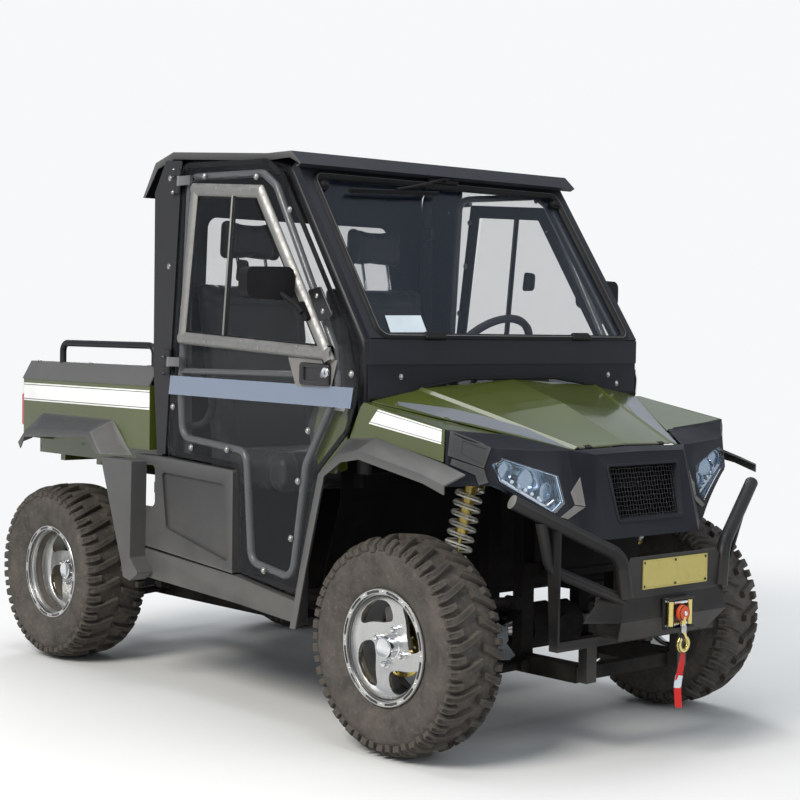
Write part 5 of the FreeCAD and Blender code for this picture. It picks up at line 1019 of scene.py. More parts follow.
def nose_trim():
    """The grooved covers between fender and lamp, with the grooves drawn as dark lines of painted shade, and the
    pale accents below the lamps.
    """
    bm = bmesh.new()
    lay_strip(bm, "nose", NOSE_COVER, 0.0030, 0, 5, 4)
    lay_strip(bm, "nose", COVER_LEG, 0.0050, 0, 5, 2)
    # Painted shade: each groove is a dark strip on the cover
    for rows in COVER_GROOVE_SHADE:
        lay_strip(bm, "nose", rows, 0.0033, 1, 5, 1)
    bevelled(add_piece(bm, "nose_covers", ("charcoal", "pinline"), "chassis", "grey_plastic"), 0.0012)
    bm = bmesh.new()
    for rows in LAMP_ACCENTS:
        lay_strip(bm, "nose", rows, 0.0025, 0, 3, 3)
    bevelled(add_piece(bm, "lamp_accents", "light_grey", "chassis", "nose_plastic"), 0.001)


side_strips()
nose_trim()


# Flat outlines, and what is made on them

def rounded_outline(corners, steps=6):
    """A closed outline (x, z) with an arc at each corner (x, z, radius)."""
    points = [Vector((x, z)) for x, z, _ in corners]
    out = []
    for i, corner in enumerate(points):
        a, b = points[i - 1] - corner, points[(i + 1) % len(points)] - corner
        turn = a.angle(b)
        reach = min(corners[i][2] / math.tan(turn / 2), 0.45 * min(a.length, b.length))
        start, end = corner + a.normalized() * reach, corner + b.normalized() * reach
        bow = reach * math.tan(turn / 2)
        centre = corner + (a.normalized() + b.normalized()).normalized() * (bow / math.sin(turn / 2))
        first, last = start - centre, end - centre
        for k in range(steps + 1):
            way = first.lerp(last, k / steps)
            out.append(centre + way.normalized() * bow)
    return out


def evenly_rounded(corners, radius, steps):
    """A closed outline with the same arc at each corner."""
    return rounded_outline([(*corner, radius) for corner in corners], steps)


def moved_in(outline, by):
    """A closed outline set in (or out, if negative) by a distance, with its corners mitred."""
    following = outline[1:] + outline[:1]
    area = sum(a.x * b.y - b.x * a.y for a, b in zip(outline, following))
    inward = by if area > 0 else -by
    out = []
    for before, p, after in zip(outline[-1:] + outline[:-1], outline, following):
        first, second = (p - before).normalized(), (after - p).normalized()
        first, second = Vector((-first.y, first.x)), Vector((-second.y, second.x))
        out.append(p + (first + second) * inward / (1 + first.dot(second)))
    return out


def seen_outline(pixels, y):
    """The flat outline (x, z) that points of the photograph make on a plane across Y."""
    return [Vector((p.x, p.z)) for p in (on_plane(*pixel, 1, y) for pixel in pixels)]


def side_space(side, y):
    """Places a flat outline (x, z) at a distance from the vehicle's middle, with heights going outward."""
    return lambda p, height: Vector((p.x, side * (y + height), p.y))


def moulding(bm, outline, section, to_space, materials=None):
    """A moulding round a flat outline: its section is (distance in, height) points, and to_space places them."""
    rings = [[bm.verts.new(to_space(p, height)) for p in moved_in(outline, inward)] for inward, height in section]
    for k, ring in enumerate(rings):
        skin_rings(bm, [ring, rings[(k + 1) % len(rings)]], material=materials[k] if materials else 0)


def flat_plate(bm, outline, low, high, to_space, material=0, edge=0.0):
    """A plate over a flat outline, with its top edge taken in a little."""
    closed_skin(bm, [[bm.verts.new(to_space(p, height)) for p in moved_in(outline, inward)]
                     for inward, height in ((0.0, low), (0.0, high - edge), (edge, high))], material)


# Doors

DOOR_BOLTS = ((204.6, 176.3), (256.4, 176.7), (289.8, 209.6), (330.5, 312.7), (192.6, 203.2), (188.8, 253.1),
              (183.1, 307.2), (172.9, 406.7), (191.2, 447.5), (226.9, 449.6), (308.0, 430.8), (297.8, 481.2),
              (290.8, 538.4), (263.7, 570.6), (351.5, 374.1))
WINDOW_RIVETS = ((216.0, 188.0), (249.5, 189.0), (277.5, 213.0), (242.1, 340.5), (296.2, 346.4), (204.2, 341.5),
                 (257.9, 347.8))
PILLAR_BOLTS = ((170.1, 178.4), (168.8, 266.4))
HINGE_BOLTS = ((184.6, 176.0), (184.0, 183.5), (172.8, 192.3), (173.6, 199.8), (172.0, 359.0), (171.0, 366.5),
               (161.5, 377.0), (161.8, 382.5))
# Where a pale bluish reflection lies across the door's pane, laid on as a painted reflection
PANE_REFLECTION = ((170.6, 375.4), (353.5, 387.8), (350.5, 408.7), (168.8, 394.0))
# The door's outline, from the front axle (F) or the rear one (R), height, and the radius of its corner
DOOR_LINE = (("R", 0.715, 0.790, 0.040), ("F", -0.745, 0.772, 0.020), ("F", -0.735, 0.445, 0.024),
             ("F", -0.430, 0.405, 0.034), ("F", -0.350, 0.786, 0.080), ("F", -0.215, 0.910, 0.060),
             ("F", -0.180, 1.000, 0.060), ("F", -0.175, 1.060, 0.060), ("F", -0.220, 1.214, 0.080),
             ("F", -0.530, 1.690, 0.060), ("F", -0.610, 1.738, 0.060), ("R", 0.795, 1.748, 0.026))
LOCK_PIXEL = (325.6, 372.4)
# The outer face of the right door's pane
PANE_OUT = -0.634


def station(axle, x):
    """An x given from the front axle (F) or the rear one (R)."""
    return (FRONT if axle == "F" else REAR) + x


DOOR_FACE = -PANE_OUT
SEAL_SECTION = ((0.0015, -0.005), (0.0015, -0.010), (0.017, -0.010), (0.017, -0.005))
LOCK_PROFILE = ((-0.002, 0.0150), (0.004, 0.0150), (0.0055, 0.0135), (0.0055, 0.0110), (0.0045, 0.0095),
                (0.0045, 0.0005))
# Half sizes of the dark slab painted as the keyhole's shade
KEYHOLE = Vector((0.0011, 0, 0.006))
# The window catch: x, y and z of its middle; its corners round that, each with its radius
CATCH_PLACE = (FRONT - 0.700, 0.014, 1.395)
CATCH = ((-0.030, -0.034, 0.010), (0.024, -0.034, 0.016), (0.030, 0.028, 0.016), (-0.020, 0.034, 0.010))
CATCH_LEVELS = ((0.0, 0.0), (0.006, 0.0), (0.009, 0.003))


def door_trim(name, side):
    """Edge rubber, bolts, rivets, the pale band of painted reflection on the pane, the lock and the window catch of
    one door.
    """
    body = "door_" + name
    shown = 1 if side < 0 else -1
    face = side_space(side, DOOR_FACE)

    def side_of(point):
        return point if side < 0 else flip(point)

    outline = rounded_outline([(station(axle, x), z, r) for axle, x, z, r in DOOR_LINE])
    bm = bmesh.new()
    moulding(bm, outline, SEAL_SECTION, face)
    add_piece(bm, f"door_seal_{name}", "trim_rubber", body, "grip")

    bm = bmesh.new()
    domes(bm, "door_right_glass", DOOR_BOLTS, 0.0085, 0.0085, (shown,))
    domes(bm, "door_right_window", WINDOW_RIVETS, 0.0028, 0.0018, (shown,), 1)
    add_piece(bm, f"door_bolts_{name}", ("zinc", "steel"), body, "door_steel")

    # A tinted strip on the pane: a painted reflection
    bm = bmesh.new()
    band = seen_outline(PANE_REFLECTION, PANE_OUT)
    closed_skin(bm, [[bm.verts.new(face(p, height)) for p in band] for height in (0.0004, 0.0010)])
    add_piece(bm, f"door_reflection_{name}", "haze", body, "door_pane")

    lock, out = on_node(*LOCK_PIXEL, "door_right_frame")
    bm = bmesh.new()
    disc(bm, side_of(lock), side_of(out), LOCK_PROFILE, 28)
    # The keyhole: a dark slab on the lock's face, painted shade for its slot
    ends = [side_of(lock + out * 0.004 - KEYHOLE), side_of(lock + out * 0.0052 + KEYHOLE)]
    box_mesh(bm, [min(pair) for pair in zip(*ends)], [max(pair) for pair in zip(*ends)], 1)
    add_piece(bm, f"door_lock_{name}", ("chrome", "pinline"), body, "door_steel")

    bm = bmesh.new()
    x, y, z = CATCH_PLACE
    outline = rounded_outline([(x + dx, z + dz, radius) for dx, dz, radius in CATCH])
    closed_skin(bm, [[bm.verts.new(face(p, y + height)) for p in moved_in(outline, inset)]
                     for height, inset in CATCH_LEVELS])
    add_piece(bm, f"window_catch_{name}", "trim_rubber", body, "window_alloy")


def cab_bolts():
    """Bolt heads on the cab's rear pillars and the doors' hinges."""
    bm = bmesh.new()
    domes(bm, "rear_wall", PILLAR_BOLTS, 0.0080, 0.0050)
    domes(bm, "door_hinges", HINGE_BOLTS, 0.0055, 0.0060)
    add_piece(bm, "cab_bolts", "zinc", "chassis", "cab_paint")


for door_name, door_side in SIDES:
    door_trim(door_name, door_side)
cab_bolts()


# Windscreen

SCREEN_FOOT = (FRONT - 0.160, 1.197)
SCREEN_WAY = Vector((-0.330, 0.491)).normalized()
SCREEN_LENGTH = 0.5916
GLASS_CORNERS = ((-0.556, 0.0, 0.034), (0.556, 0.0, 0.034), (0.546, SCREEN_LENGTH, 0.034),
                 (-0.546, SCREEN_LENGTH, 0.034))
GLASS_DEPTH = -0.0058
STICKER = ((386.1, 314.4), (421.7, 314.4), (428.1, 331.3), (391.8, 331.3))
SCREEN_KNOBS = ((323.0, 185.0), (553.7, 204.6))
SCREEN_CLAMPS = ((434.3, 337.0), (580.0, 338.0))
COWL_BOLTS = ((401.0, 376.8), (608.1, 374.5), (616.4, 383.2))
# Profile of a knob on the glass, half sizes of a clamp, and the clamp's corners: across, up, radius
KNOB_PROFILE = ((0, 0.016), (0.007, 0.016), (0.008, 0.012), (0.016, 0.011), (0.019, 0.008))
CLAMP = ((-0.045, -0.012, 0.004), (0.045, -0.012, 0.004), (0.040, 0.014, 0.006), (-0.040, 0.014, 0.006))
# Section of the glass's rubber: distance in, height; its fourth face is the bright bead, a painted highlight along
# the rubber's crest
RUBBER_SECTION = ((-0.011, 0.0002), (-0.009, 0.0045), (-0.003, 0.0065), (-0.0008, 0.0078), (0.0008, 0.0078),
                  (0.003, 0.0065), (0.010, 0.0030), (0.014, -0.0040), (0.014, GLASS_DEPTH))
RUBBER_LOOKS = (0, 0, 0, 1, 0, 0, 0, 0, 0)
# The wiper's motor housing: across, up from the glass's top edge, radius
WIPER_HOUSING = ((-0.075, -0.004, 0.012), (0.075, -0.004, 0.012), (0.060, 0.034, 0.010), (-0.060, 0.034, 0.010))
# The wiper's arm: across, up from the top edge, height; and its blade: across, up from the top edge
WIPER_ARM = ((0.0, 0.006, 0.028), (-0.12, -0.030, 0.030), (-0.24, -0.052, 0.022))
WIPER_BLADE = ((-0.43, -0.060), (-0.24, -0.052), (-0.05, -0.044))
# The cowl's lower edge: |y|, z
COWL_EDGE = ((0.598, 1.0135), (0.455, 1.0175), (0.390, 1.0435), (0.200, 1.0695))


def screen_point(across, up, proud=0.0):
    """A point of the windscreen: across it, up its slope, and proud of its frame's face."""
    way, foot = SCREEN_WAY, SCREEN_FOOT
    return Vector((foot[0] + way.x * up + way.y * proud, across, foot[1] + way.y * up - way.x * proud))


def on_screen(px, py):
    """Across and up the windscreen where the camera sees it at a point of the photograph."""
    origin, sighted = sight(px, py)
    normal = Vector((SCREEN_WAY.y, 0, -SCREEN_WAY.x))
    point = origin + sighted * ((screen_point(0, 0) - origin).dot(normal) / sighted.dot(normal))
    return point.y, (point.x - SCREEN_FOOT[0]) * SCREEN_WAY.x + (point.z - SCREEN_FOOT[1]) * SCREEN_WAY.y


def screen_space(p, height):
    """Places a flat outline (across, up) on the windscreen."""
    return screen_point(p.x, p.y, height)


def screen_trim():
    """The glass's rubber with its bright bead as a painted highlight, the blank sticker, knobs, clamps and the
    wiper.
    """
    bm = bmesh.new()
    moulding(bm, rounded_outline(GLASS_CORNERS, 8), RUBBER_SECTION, screen_space, RUBBER_LOOKS)
    # The bead's bright alloy: a painted highlight on the dark rubber
    add_piece(bm, "screen_rubber", ("trim_rubber", "window_alloy"), "chassis", "cab_paint", smooth=60)

    bm = bmesh.new()
    corners = [Vector(on_screen(*pixel)) for pixel in STICKER]
    flat_plate(bm, corners, GLASS_DEPTH, GLASS_DEPTH + 0.0004, screen_space)
    add_piece(bm, "screen_sticker", "paper", "chassis", "screen_glass")

    bm = bmesh.new()
    out = screen_point(0, 0, 1) - screen_point(0, 0)
    for pixel in SCREEN_KNOBS:
        across, up = on_screen(*pixel)
        for side in (1, -1):
            disc(bm, screen_point(side * abs(across), up, GLASS_DEPTH), out, KNOB_PROFILE, 20)
    for pixel in SCREEN_CLAMPS:
        across, up = on_screen(*pixel)
        outline = rounded_outline([(across + x, up + y, radius) for x, y, radius in CLAMP], 3)
        flat_plate(bm, outline, 0.0, 0.012, screen_space, edge=0.003)
    wiper(bm, out)
    add_piece(bm, "screen_fittings", ("trim_rubber", "steel"), "chassis", "grip")

    bm = bmesh.new()
    edge = [Vector((SCREEN_FOOT[0] + 0.001, s * y, z)) for s, points in ((-1, COWL_EDGE), (1, COWL_EDGE[::-1]))
            for y, z in points]
    sweep_tube(bm, smooth_path(edge, 0.05), 0.0055, 10)
    add_piece(bm, "cowl_rubber", "trim_rubber", "chassis", "grip")
    bm = bmesh.new()
    domes(bm, "screen_frame", COWL_BOLTS, 0.0070, 0.0055, (1,))
    add_piece(bm, "cowl_bolts", "zinc", "chassis", "cab_paint")


def wiper(bm, out):
    """The parked wiper along the glass's upper edge, with its motor housing on the frame."""
    top = SCREEN_LENGTH
    housing = rounded_outline([(x, top + y, radius) for x, y, radius in WIPER_HOUSING], 4)
    flat_plate(bm, housing, 0.0, 0.022, screen_space, edge=0.006)
    disc(bm, screen_point(0.0, top + 0.006, 0.020), out, ((0, 0.012), (0.010, 0.011), (0.013, 0.007)), 18)
    sweep_tube(bm, smooth_path([screen_point(x, top + y, height) for x, y, height in WIPER_ARM], 0.05), 0.0045, 10)
    blade = [screen_point(x, top + y, 0.006) for x, y in WIPER_BLADE]
    sweep_tube(bm, blade, 0.0065, 8)
    sweep_tube(bm, [p + out * 0.008 for p in blade], 0.004, 8)


screen_trim()


# Door windows, latches, bars and belts inside

# Corners of the window's frame: axle, x, z
WINDOW_CORNERS = (("R", 0.785, 1.160), ("R", 0.855, 1.680), ("F", -0.620, 1.655), ("F", -0.265, 1.120))
# Its section: distance in, height; the last three faces are rubber
WINDOW_SECTION = ((0.0, 0.0003), (0.0, 0.0035), (0.0025, 0.0085), (0.008, 0.0138), (0.0145, 0.0168),
                  (0.0215, 0.0178), (0.029, 0.0168), (0.035, 0.0138), (0.0385, 0.0100), (0.0400, 0.0085),
                  (0.0455, 0.0085), (0.0455, 0.0003))
WINDOW_LOOKS = (0, 0, 0, 0, 0, 0, 0, 0, 0, 1, 1, 1)
DIVIDER = ((FRONT - 0.798, 1.190), (FRONT - 0.756, 1.632))
# The divider's bar and its rubber: offset, half width, height, material
DIVIDER_STRIPS = ((-0.0062, 0.0040, 0.0140, 0), (0.0040, 0.0062, 0.0120, 1))
LATCH = ((FRONT - 0.4205, 1.0495), (FRONT - 0.2895, 1.0495), (FRONT - 0.2895, 1.1095), (FRONT - 0.4205, 1.1125))
LATCH_RECESS = ((FRONT - 0.405, 1.060), (FRONT - 0.335, 1.060), (FRONT - 0.335, 1.102), (FRONT - 0.405, 1.102))
LATCH_PLATE = ((288.4, 357.3), (337.8, 360.0), (331.5, 386.8), (296.0, 386.4))
FOAM_BAR = ((189.5, 366.8), (211.6, 393.1), (213.2, 405.7), (205.2, 424.6), (183.1, 426.7))
FOAM_Y = -0.568
POST_X = REAR + 0.690


def window_frame(name, side):
    """The alloy frame of a door's window, with its rubber and the divider between its lights."""
    to_space = side_space(side, DOOR_FACE)
    bm = bmesh.new()
    outline = evenly_rounded([(station(axle, x), z) for axle, x, z in WINDOW_CORNERS], 0.006, 3)
    moulding(bm, outline, WINDOW_SECTION, to_space, WINDOW_LOOKS)
    low, top = (Vector(p) for p in DIVIDER)
    for offset, half, proud, material in DIVIDER_STRIPS:
        left, right = Vector((offset - half, 0)), Vector((offset + half, 0))
        flat_plate(bm, [low + left, low + right, top + right, top + left], 0.0045, proud, to_space, material,
                   0.0015)
    add_piece(bm, f"window_frame_{name}", ("window_alloy", "trim_rubber"), "door_" + name, "window_alloy",
              [f"door_{name}_window"], 50)


def latch_cover(name, side):
    """The black cover with its hand recess, and the bare plate behind it."""
    to_space = side_space(side, DOOR_FACE)
    bm = bmesh.new()
    outer, inner = evenly_rounded(LATCH, 0.008, 4), evenly_rounded(LATCH_RECESS, 0.006, 4)
    levels = ((outer, -0.0025, 0.0004), (outer, -0.0025, 0.0100), (outer, 0.0005, 0.0134),
              (inner, -0.001, 0.0134), (inner, 0.0005, 0.0065))
    closed_skin(bm, [[bm.verts.new(to_space(p, height)) for p in moved_in(outline, inset)]
                     for outline, inset, height in levels])
    add_piece(bm, f"latch_cover_{name}", "satin_black", "door_" + name, "door_steel")
    bm = bmesh.new()
    flat_plate(bm, seen_outline(LATCH_PLATE, PANE_OUT), -0.0001, 0.0011, to_space)
    add_piece(bm, f"latch_plate_{name}", "light_grey", "door_" + name, "door_steel")


def foam_bars():
    """The padded bars beside the seats, from one rear post to the other end below."""
    points = [on_plane(*pixel, 1, FOAM_Y) for pixel in FOAM_BAR]
    path = [Vector((POST_X, FOAM_Y, points[0].z + 0.03)), *points, Vector((POST_X, FOAM_Y, points[-1].z))]
    for name, side in SIDES:
        bm = bmesh.new()
        sweep_tube(bm, smooth_path([p if side < 0 else flip(p) for p in path], 0.08), 0.0125, 16)
        pad = add_piece(bm, f"hip_bar_{name}", "foam", "chassis", "grip")


def web_strip(bm, points, width, across, thickness=0.0014):
    """A flat woven strip along points, its width lying along a direction at each of them."""
    rings = []
    for i, point in enumerate(points):
        ahead = (points[min(i + 1, len(points) - 1)] - points[max(i - 1, 0)]).normalized()
        way = across(i / (len(points) - 1))
        way = (way - ahead * way.dot(ahead)).normalized()
        thick = ahead.cross(way) * thickness / 2
        rings.append([bm.verts.new(point + way * w * width / 2 + thick * t)
                      for w, t in ((-1, -1), (1, -1), (1, 1), (-1, 1))])
    closed_skin(bm, rings)


BELT_WIDTH = 0.046
BELT_Y = 0.553
# How a belt runs down its post: x past the rear axle, z
BELT_LINE = ((0.712, 1.560), (0.716, 1.300), (0.722, 1.000), (0.727, 0.830))
# Its anchors: x past the rear axle, z, half height
BELT_ANCHORS = ((0.712, 1.575, 0.022), (0.727, 0.815, 0.030))
STALK_FOOT = (0.905, 0.022, 0.7005)
# The buckle's stalk, case and button over the stalk's foot: half sizes along x and y, low, high, material
BUCKLE = ((0.012, 0.004, 0.0, 0.145, 0), (0.022, 0.011, 0.135, 0.195, 0), (0.016, 0.007, 0.190, 0.199, 1))


def seat_belts():
    """A belt down the rear post at each side, and the buckle's stalk with its red button by the middle."""
    for name, side in SIDES:
        path = [Vector((REAR + x, side * BELT_Y, z)) for x, z in BELT_LINE]
        bm = bmesh.new()
        web_strip(bm, path, BELT_WIDTH, lambda share: Vector((1, 0, 0)))
        belt = add_piece(bm, f"belt_{name}", "webbing", "chassis", "seat")
        bm = bmesh.new()
        for x, z, half in BELT_ANCHORS:
            middle, reach = Vector((REAR + x, side * BELT_Y, z)), Vector((0.032, 0.012, half))
            box_mesh(bm, middle - reach, middle + reach)
        anchor = add_piece(bm, f"belt_anchors_{name}", "satin_black", "chassis", "grip")
        bevelled(anchor, 0.006, 3)
        bm = bmesh.new()
        x, y, z = STALK_FOOT
        foot = Vector((REAR + x, side * y, z))
        for half_x, half_y, low, high, material in BUCKLE:
            box_mesh(bm, foot + Vector((-half_x, -half_y, low)), foot + Vector((half_x, half_y, high)), material)
        bevelled(add_piece(bm, f"buckle_{name}", ("satin_black", "red"), "chassis", "seat"), 0.0025)


for door_name, door_side in SIDES:
    window_frame(door_name, door_side)
    latch_cover(door_name, door_side)
foam_bars()
seat_belts()


# Seats: padded covers blown up as cloth, then stitched

SEAT_Y = 0.285
PAD_LEAN = math.tan(math.radians(10))
# name, low and high corner about the seat's middle plane, the lean's foot, corner radius, reach of the
# cloth, and the sewn lines: axis, value
PADS = (
    ("cushion", (REAR + 0.858, -0.238, 0.707), (REAR + 1.190, 0.238, 0.805), None, 0.034, 0.016,
     ((0, REAR + 0.945), (0, REAR + 1.105), (1, -0.155), (1, 0.155))),
    ("back", (REAR + 0.772, -0.228, 0.712), (REAR + 0.838, 0.228, 1.372), 0.810, 0.030, 0.014,
     ((2, 0.99), (2, 1.16), (2, 1.30), (1, -0.150), (1, 0.150))),
    ("headrest", (REAR + 0.684, -0.124, 1.4450), (REAR + 0.730, 0.124, 1.578), None, 0.022, 0.012,
     ((1, -0.085), (1, 0.085))),
)
PAD_VOXEL = 0.008
CLOTH_FRAMES = 20
CLOTH_PRESSURE = 4.0
STITCH_WIDTH = 0.006
STITCH_DEPTH = 0.0045
# The headrest's posts: |y| from the seat's middle, foot and head (x past the rear axle, z), radius
POST_Y, POST_FOOT, POST_HEAD, POST_RADIUS = 0.06, (0.735, 1.36), (0.712, 1.46), 0.006


def pad_form(name, low, high, radius):
    """A block with round edges, before the cloth."""
    bm = bmesh.new()
    box_mesh(bm, low, high)
    bmesh.ops.bevel(bm, geom=bm.edges[:], offset=radius, segments=4, profile=0.55, affect="EDGES")
    return finish_mesh(bm, name, "vinyl", 0)


def remeshed(piece):
    """Gives the piece an even mesh."""
    modifier = piece.modifiers.new("remesh", "REMESH")
    modifier.mode = "VOXEL"
    modifier.voxel_size = PAD_VOXEL
    graph = bpy.context.evaluated_depsgraph_get()
    mesh = bpy.data.meshes.new_from_object(piece.evaluated_get(graph), depsgraph=graph)
    piece.modifiers.clear()
    piece.data = mesh


def blown_up(piece, reach):
    """Runs the piece as pressurised cloth, and caps how far each point moves from its start."""
    cloth = piece.modifiers.new("cloth", "CLOTH")
    cloth.settings.use_pressure = True
    cloth.settings.uniform_pressure_force = CLOTH_PRESSURE
    cloth.settings.effector_weights.gravity = 0.0
    scene = bpy.context.scene
    for number in range(1, CLOTH_FRAMES + 1):
        scene.frame_set(number)
    shaped = piece.evaluated_get(bpy.context.evaluated_depsgraph_get()).to_mesh()
    moved = [v.co.copy() for v in shaped.vertices]
    piece.modifiers.clear()
    scene.frame_set(1)
    for vertex, target in zip(piece.data.vertices, moved):
        step = target - vertex.co
        vertex.co += step * min(1.0, reach / max(step.length, 1e-9))


def stitched(piece, seams):
    """Draws sewn lines in along planes: (axis, value)."""
    normals = [v.normal.copy() for v in piece.data.vertices]
    for vertex, normal in zip(piece.data.vertices, normals):
        draw = sum(math.exp(-((vertex.co[axis] - value) / STITCH_WIDTH) ** 2) for axis, value in seams)
        vertex.co -= normal * STITCH_DEPTH * min(1.0, draw)


def make_seats():
    """Cushion, back and headrest of both seats, and the headrests' posts."""
    for kind, low, high, foot, radius, reach, seams in PADS:
        form = pad_form(f"{kind}_form", low, high, radius)
        remeshed(form)
        blown_up(form, reach)
        stitched(form, seams)
        if foot:
            for vertex in form.data.vertices:
                vertex.co.x -= PAD_LEAN * max(0.0, vertex.co.z - foot)
        form.data.polygons.foreach_set("use_smooth", [True] * len(form.data.polygons))
        form.data.update()
        modifier = form.modifiers.new("smooth", "SUBSURF")
        modifier.levels = modifier.render_levels = 1
        node = "seat_cushions" if kind == "cushion" else "seat_backs"
        for name, side in SIDES:
            piece = twin(form, f"seat_{kind}_{name}")
            piece.data = form.data.copy()
            piece.data.materials.clear()
            piece.data.materials.append(LOOKS["vinyl"])
            piece.location = (0, side * SEAT_Y, 0)
            bpy.context.view_layer.update()
            place(piece, "chassis", "seat", [node])
        bpy.data.objects.remove(form)
    bm = bmesh.new()
    for _, side in SIDES:
        for y in (-POST_Y, POST_Y):
            post = [Vector((REAR + x, side * SEAT_Y + y, z)) for x, z in (POST_FOOT, POST_HEAD)]
            sweep_tube(bm, post, POST_RADIUS, 12)
    add_piece(bm, "headrest_posts", "chrome", "chassis", "seat")


make_seats()


# Front end: grille, lamps, bumper and winch

# The front face of the bumper's plate, and of the fairlead on it
REACH = FRONT + 0.4937
WINCH_FACE = REACH + 0.0113
GRILLE_LOW, GRILLE_TOP, GRILLE_HALF = 0.682, 0.838, 0.158
GRILLE_DEPTH = 0.012
MESH_PITCH = 0.0125
WIRE = 0.0008
BEZEL_SECTION = ((-0.0045, 0.0004), (-0.0045, 0.0022), (-0.0015, 0.0034), (0.003, 0.0028), (0.0085, -0.024),
                 (0.0062, -0.024), (0.0004, -0.0004))
BEZEL_TAPER = 0.014
# The cooler's block and fins: half width, low, top; the heights of its tubes; the duct round it
COOLER = (0.150, 0.690, 0.826)
FINS = (0.146, 0.694, 0.822)
FIN_COUNT = 44
TUBES = (0.700, 0.735, 0.770, 0.805)
DUCT_HALF, DUCT_LOW, DUCT_TOP, DUCT_WALL = 0.166, 0.676, 0.846, 0.004
# Lamp dishes: x past the front axle, |y|, z, radius
LAMP_DISHES = ((0.290, 0.405, 0.795, 0.036), (0.268, 0.470, 0.824, 0.027), (0.306, 0.345, 0.768, 0.022))
DISH_DEPTH = 0.030
# The bright shelf under the dishes: x past the front axle, |y|, z
LAMP_SHELF = ((0.309, 0.318, 0.742), (0.306, 0.345, 0.726), (0.270, 0.490, 0.806))
# The lens's outline, |y| and z, and its dark rim: share of the way out, lift off the lens
LENS_CORNERS = ((0.520, 0.850), (0.487, 0.867), (0.308, 0.813), (0.300, 0.735), (0.336, 0.708), (0.504, 0.803))
LENS_RIM = ((0.975, 0.0008), (0.940, 0.0008), (0.925, -0.0010))
# The bumper's upper bar, from its end to the plate
BAR_END = (Vector((FRONT + 0.362, -0.539, 0.755)), Vector((FRONT + 0.4897, -0.232, 0.598)))
PLATE = ((-0.146, 0.497), (0.146, 0.497), (0.146, 0.580), (-0.146, 0.580))
PLATE_RIM = ((0.0005, 0.0020), (0.0005, 0.0032), (0.0042, 0.0032), (0.0050, 0.0020))


def nose_wall(z):
    """The front face of the nose's wall at a height."""
    return FRONT + 0.362 + (0.860 - z) * 0.2455


def make_grille():
    """Woven wire in the nose's opening, in a deep bezel."""
    bm = bmesh.new()
    rows = int((GRILLE_TOP - GRILLE_LOW) / MESH_PITCH)
    columns = int(2 * GRILLE_HALF / MESH_PITCH)
    for level, lines, crossings, over, sway, rate in ((True, rows, columns, 1, 0.0012, 0.7),
                                                      (False, columns, rows, -1, 0.0010, 0.9)):
        for i in range(lines + 1):
            points = []
            for j in range(2 * crossings + 1):
                share, along = i / lines, j / (2 * crossings)
                across, up = (along, share) if level else (share, along)
                z = GRILLE_LOW + (GRILLE_TOP - GRILLE_LOW) * up
                wave = over * WIRE * (1 if (j // 2 + i) % 2 else -1) * (j % 2)
                drift = sway * math.sin(j * rate + i)
                point = Vector((nose_wall(z) - GRILLE_DEPTH + wave, GRILLE_HALF * (2 * across - 1), z))
                point[2 if level else 1] += drift
                points.append(point)
            sweep_tube(bm, points, WIRE, 5)
    add_piece(bm, "grille_mesh", "satin_black", "chassis", "grille", ["grille"])

    bm = bmesh.new()
    low_half = GRILLE_HALF - BEZEL_TAPER
    outline = evenly_rounded([(-low_half, GRILLE_LOW), (low_half, GRILLE_LOW), (GRILLE_HALF, GRILLE_TOP),
                              (-GRILLE_HALF, GRILLE_TOP)], 0.008, 4)
    moulding(bm, outline, BEZEL_SECTION, lambda p, depth: Vector((nose_wall(p.y) + depth, p.x, p.y)))
    # The bezel takes the nose's navy painted shade
    add_piece(bm, "grille_bezel", "blue_black", "chassis", "nose_plastic")


def make_cooler():
    """The cooler behind the grille, near black as painted shade: block, fins, tubes and the duct that carries it.
    """
    bm = bmesh.new()
    front, back = nose_wall(0.840) - 0.006, nose_wall(GRILLE_TOP) - 0.062
    half, low, top = COOLER
    box_mesh(bm, (back - 0.022, -half, low), (back, half, top))
    half, low, top = FINS
    for k in range(FIN_COUNT):
        y = half * (2 * k / (FIN_COUNT - 1) - 1)
        box_mesh(bm, (back - 0.001, y - 0.0006, low), (back + 0.005, y + 0.0006, top))
    for z in TUBES:
        box_mesh(bm, (back - 0.001, -0.148, z - 0.003), (back + 0.0065, 0.148, z + 0.003))
    inside = DUCT_HALF - DUCT_WALL
    for y in (-DUCT_HALF, inside):
        box_mesh(bm, (back - 0.022, y, DUCT_LOW), (front, y + DUCT_WALL, DUCT_TOP))
    for z in (DUCT_LOW, DUCT_TOP - DUCT_WALL):
        box_mesh(bm, (back - 0.022, -inside, z), (front, inside, z + DUCT_WALL))
    box_mesh(bm, (back - 0.026, -DUCT_HALF, DUCT_LOW), (back - 0.020, DUCT_HALF, DUCT_TOP))
    # Near black throughout: painted shade behind the grille
    add_piece(bm, "cooler", "under_black", "chassis", "grille")


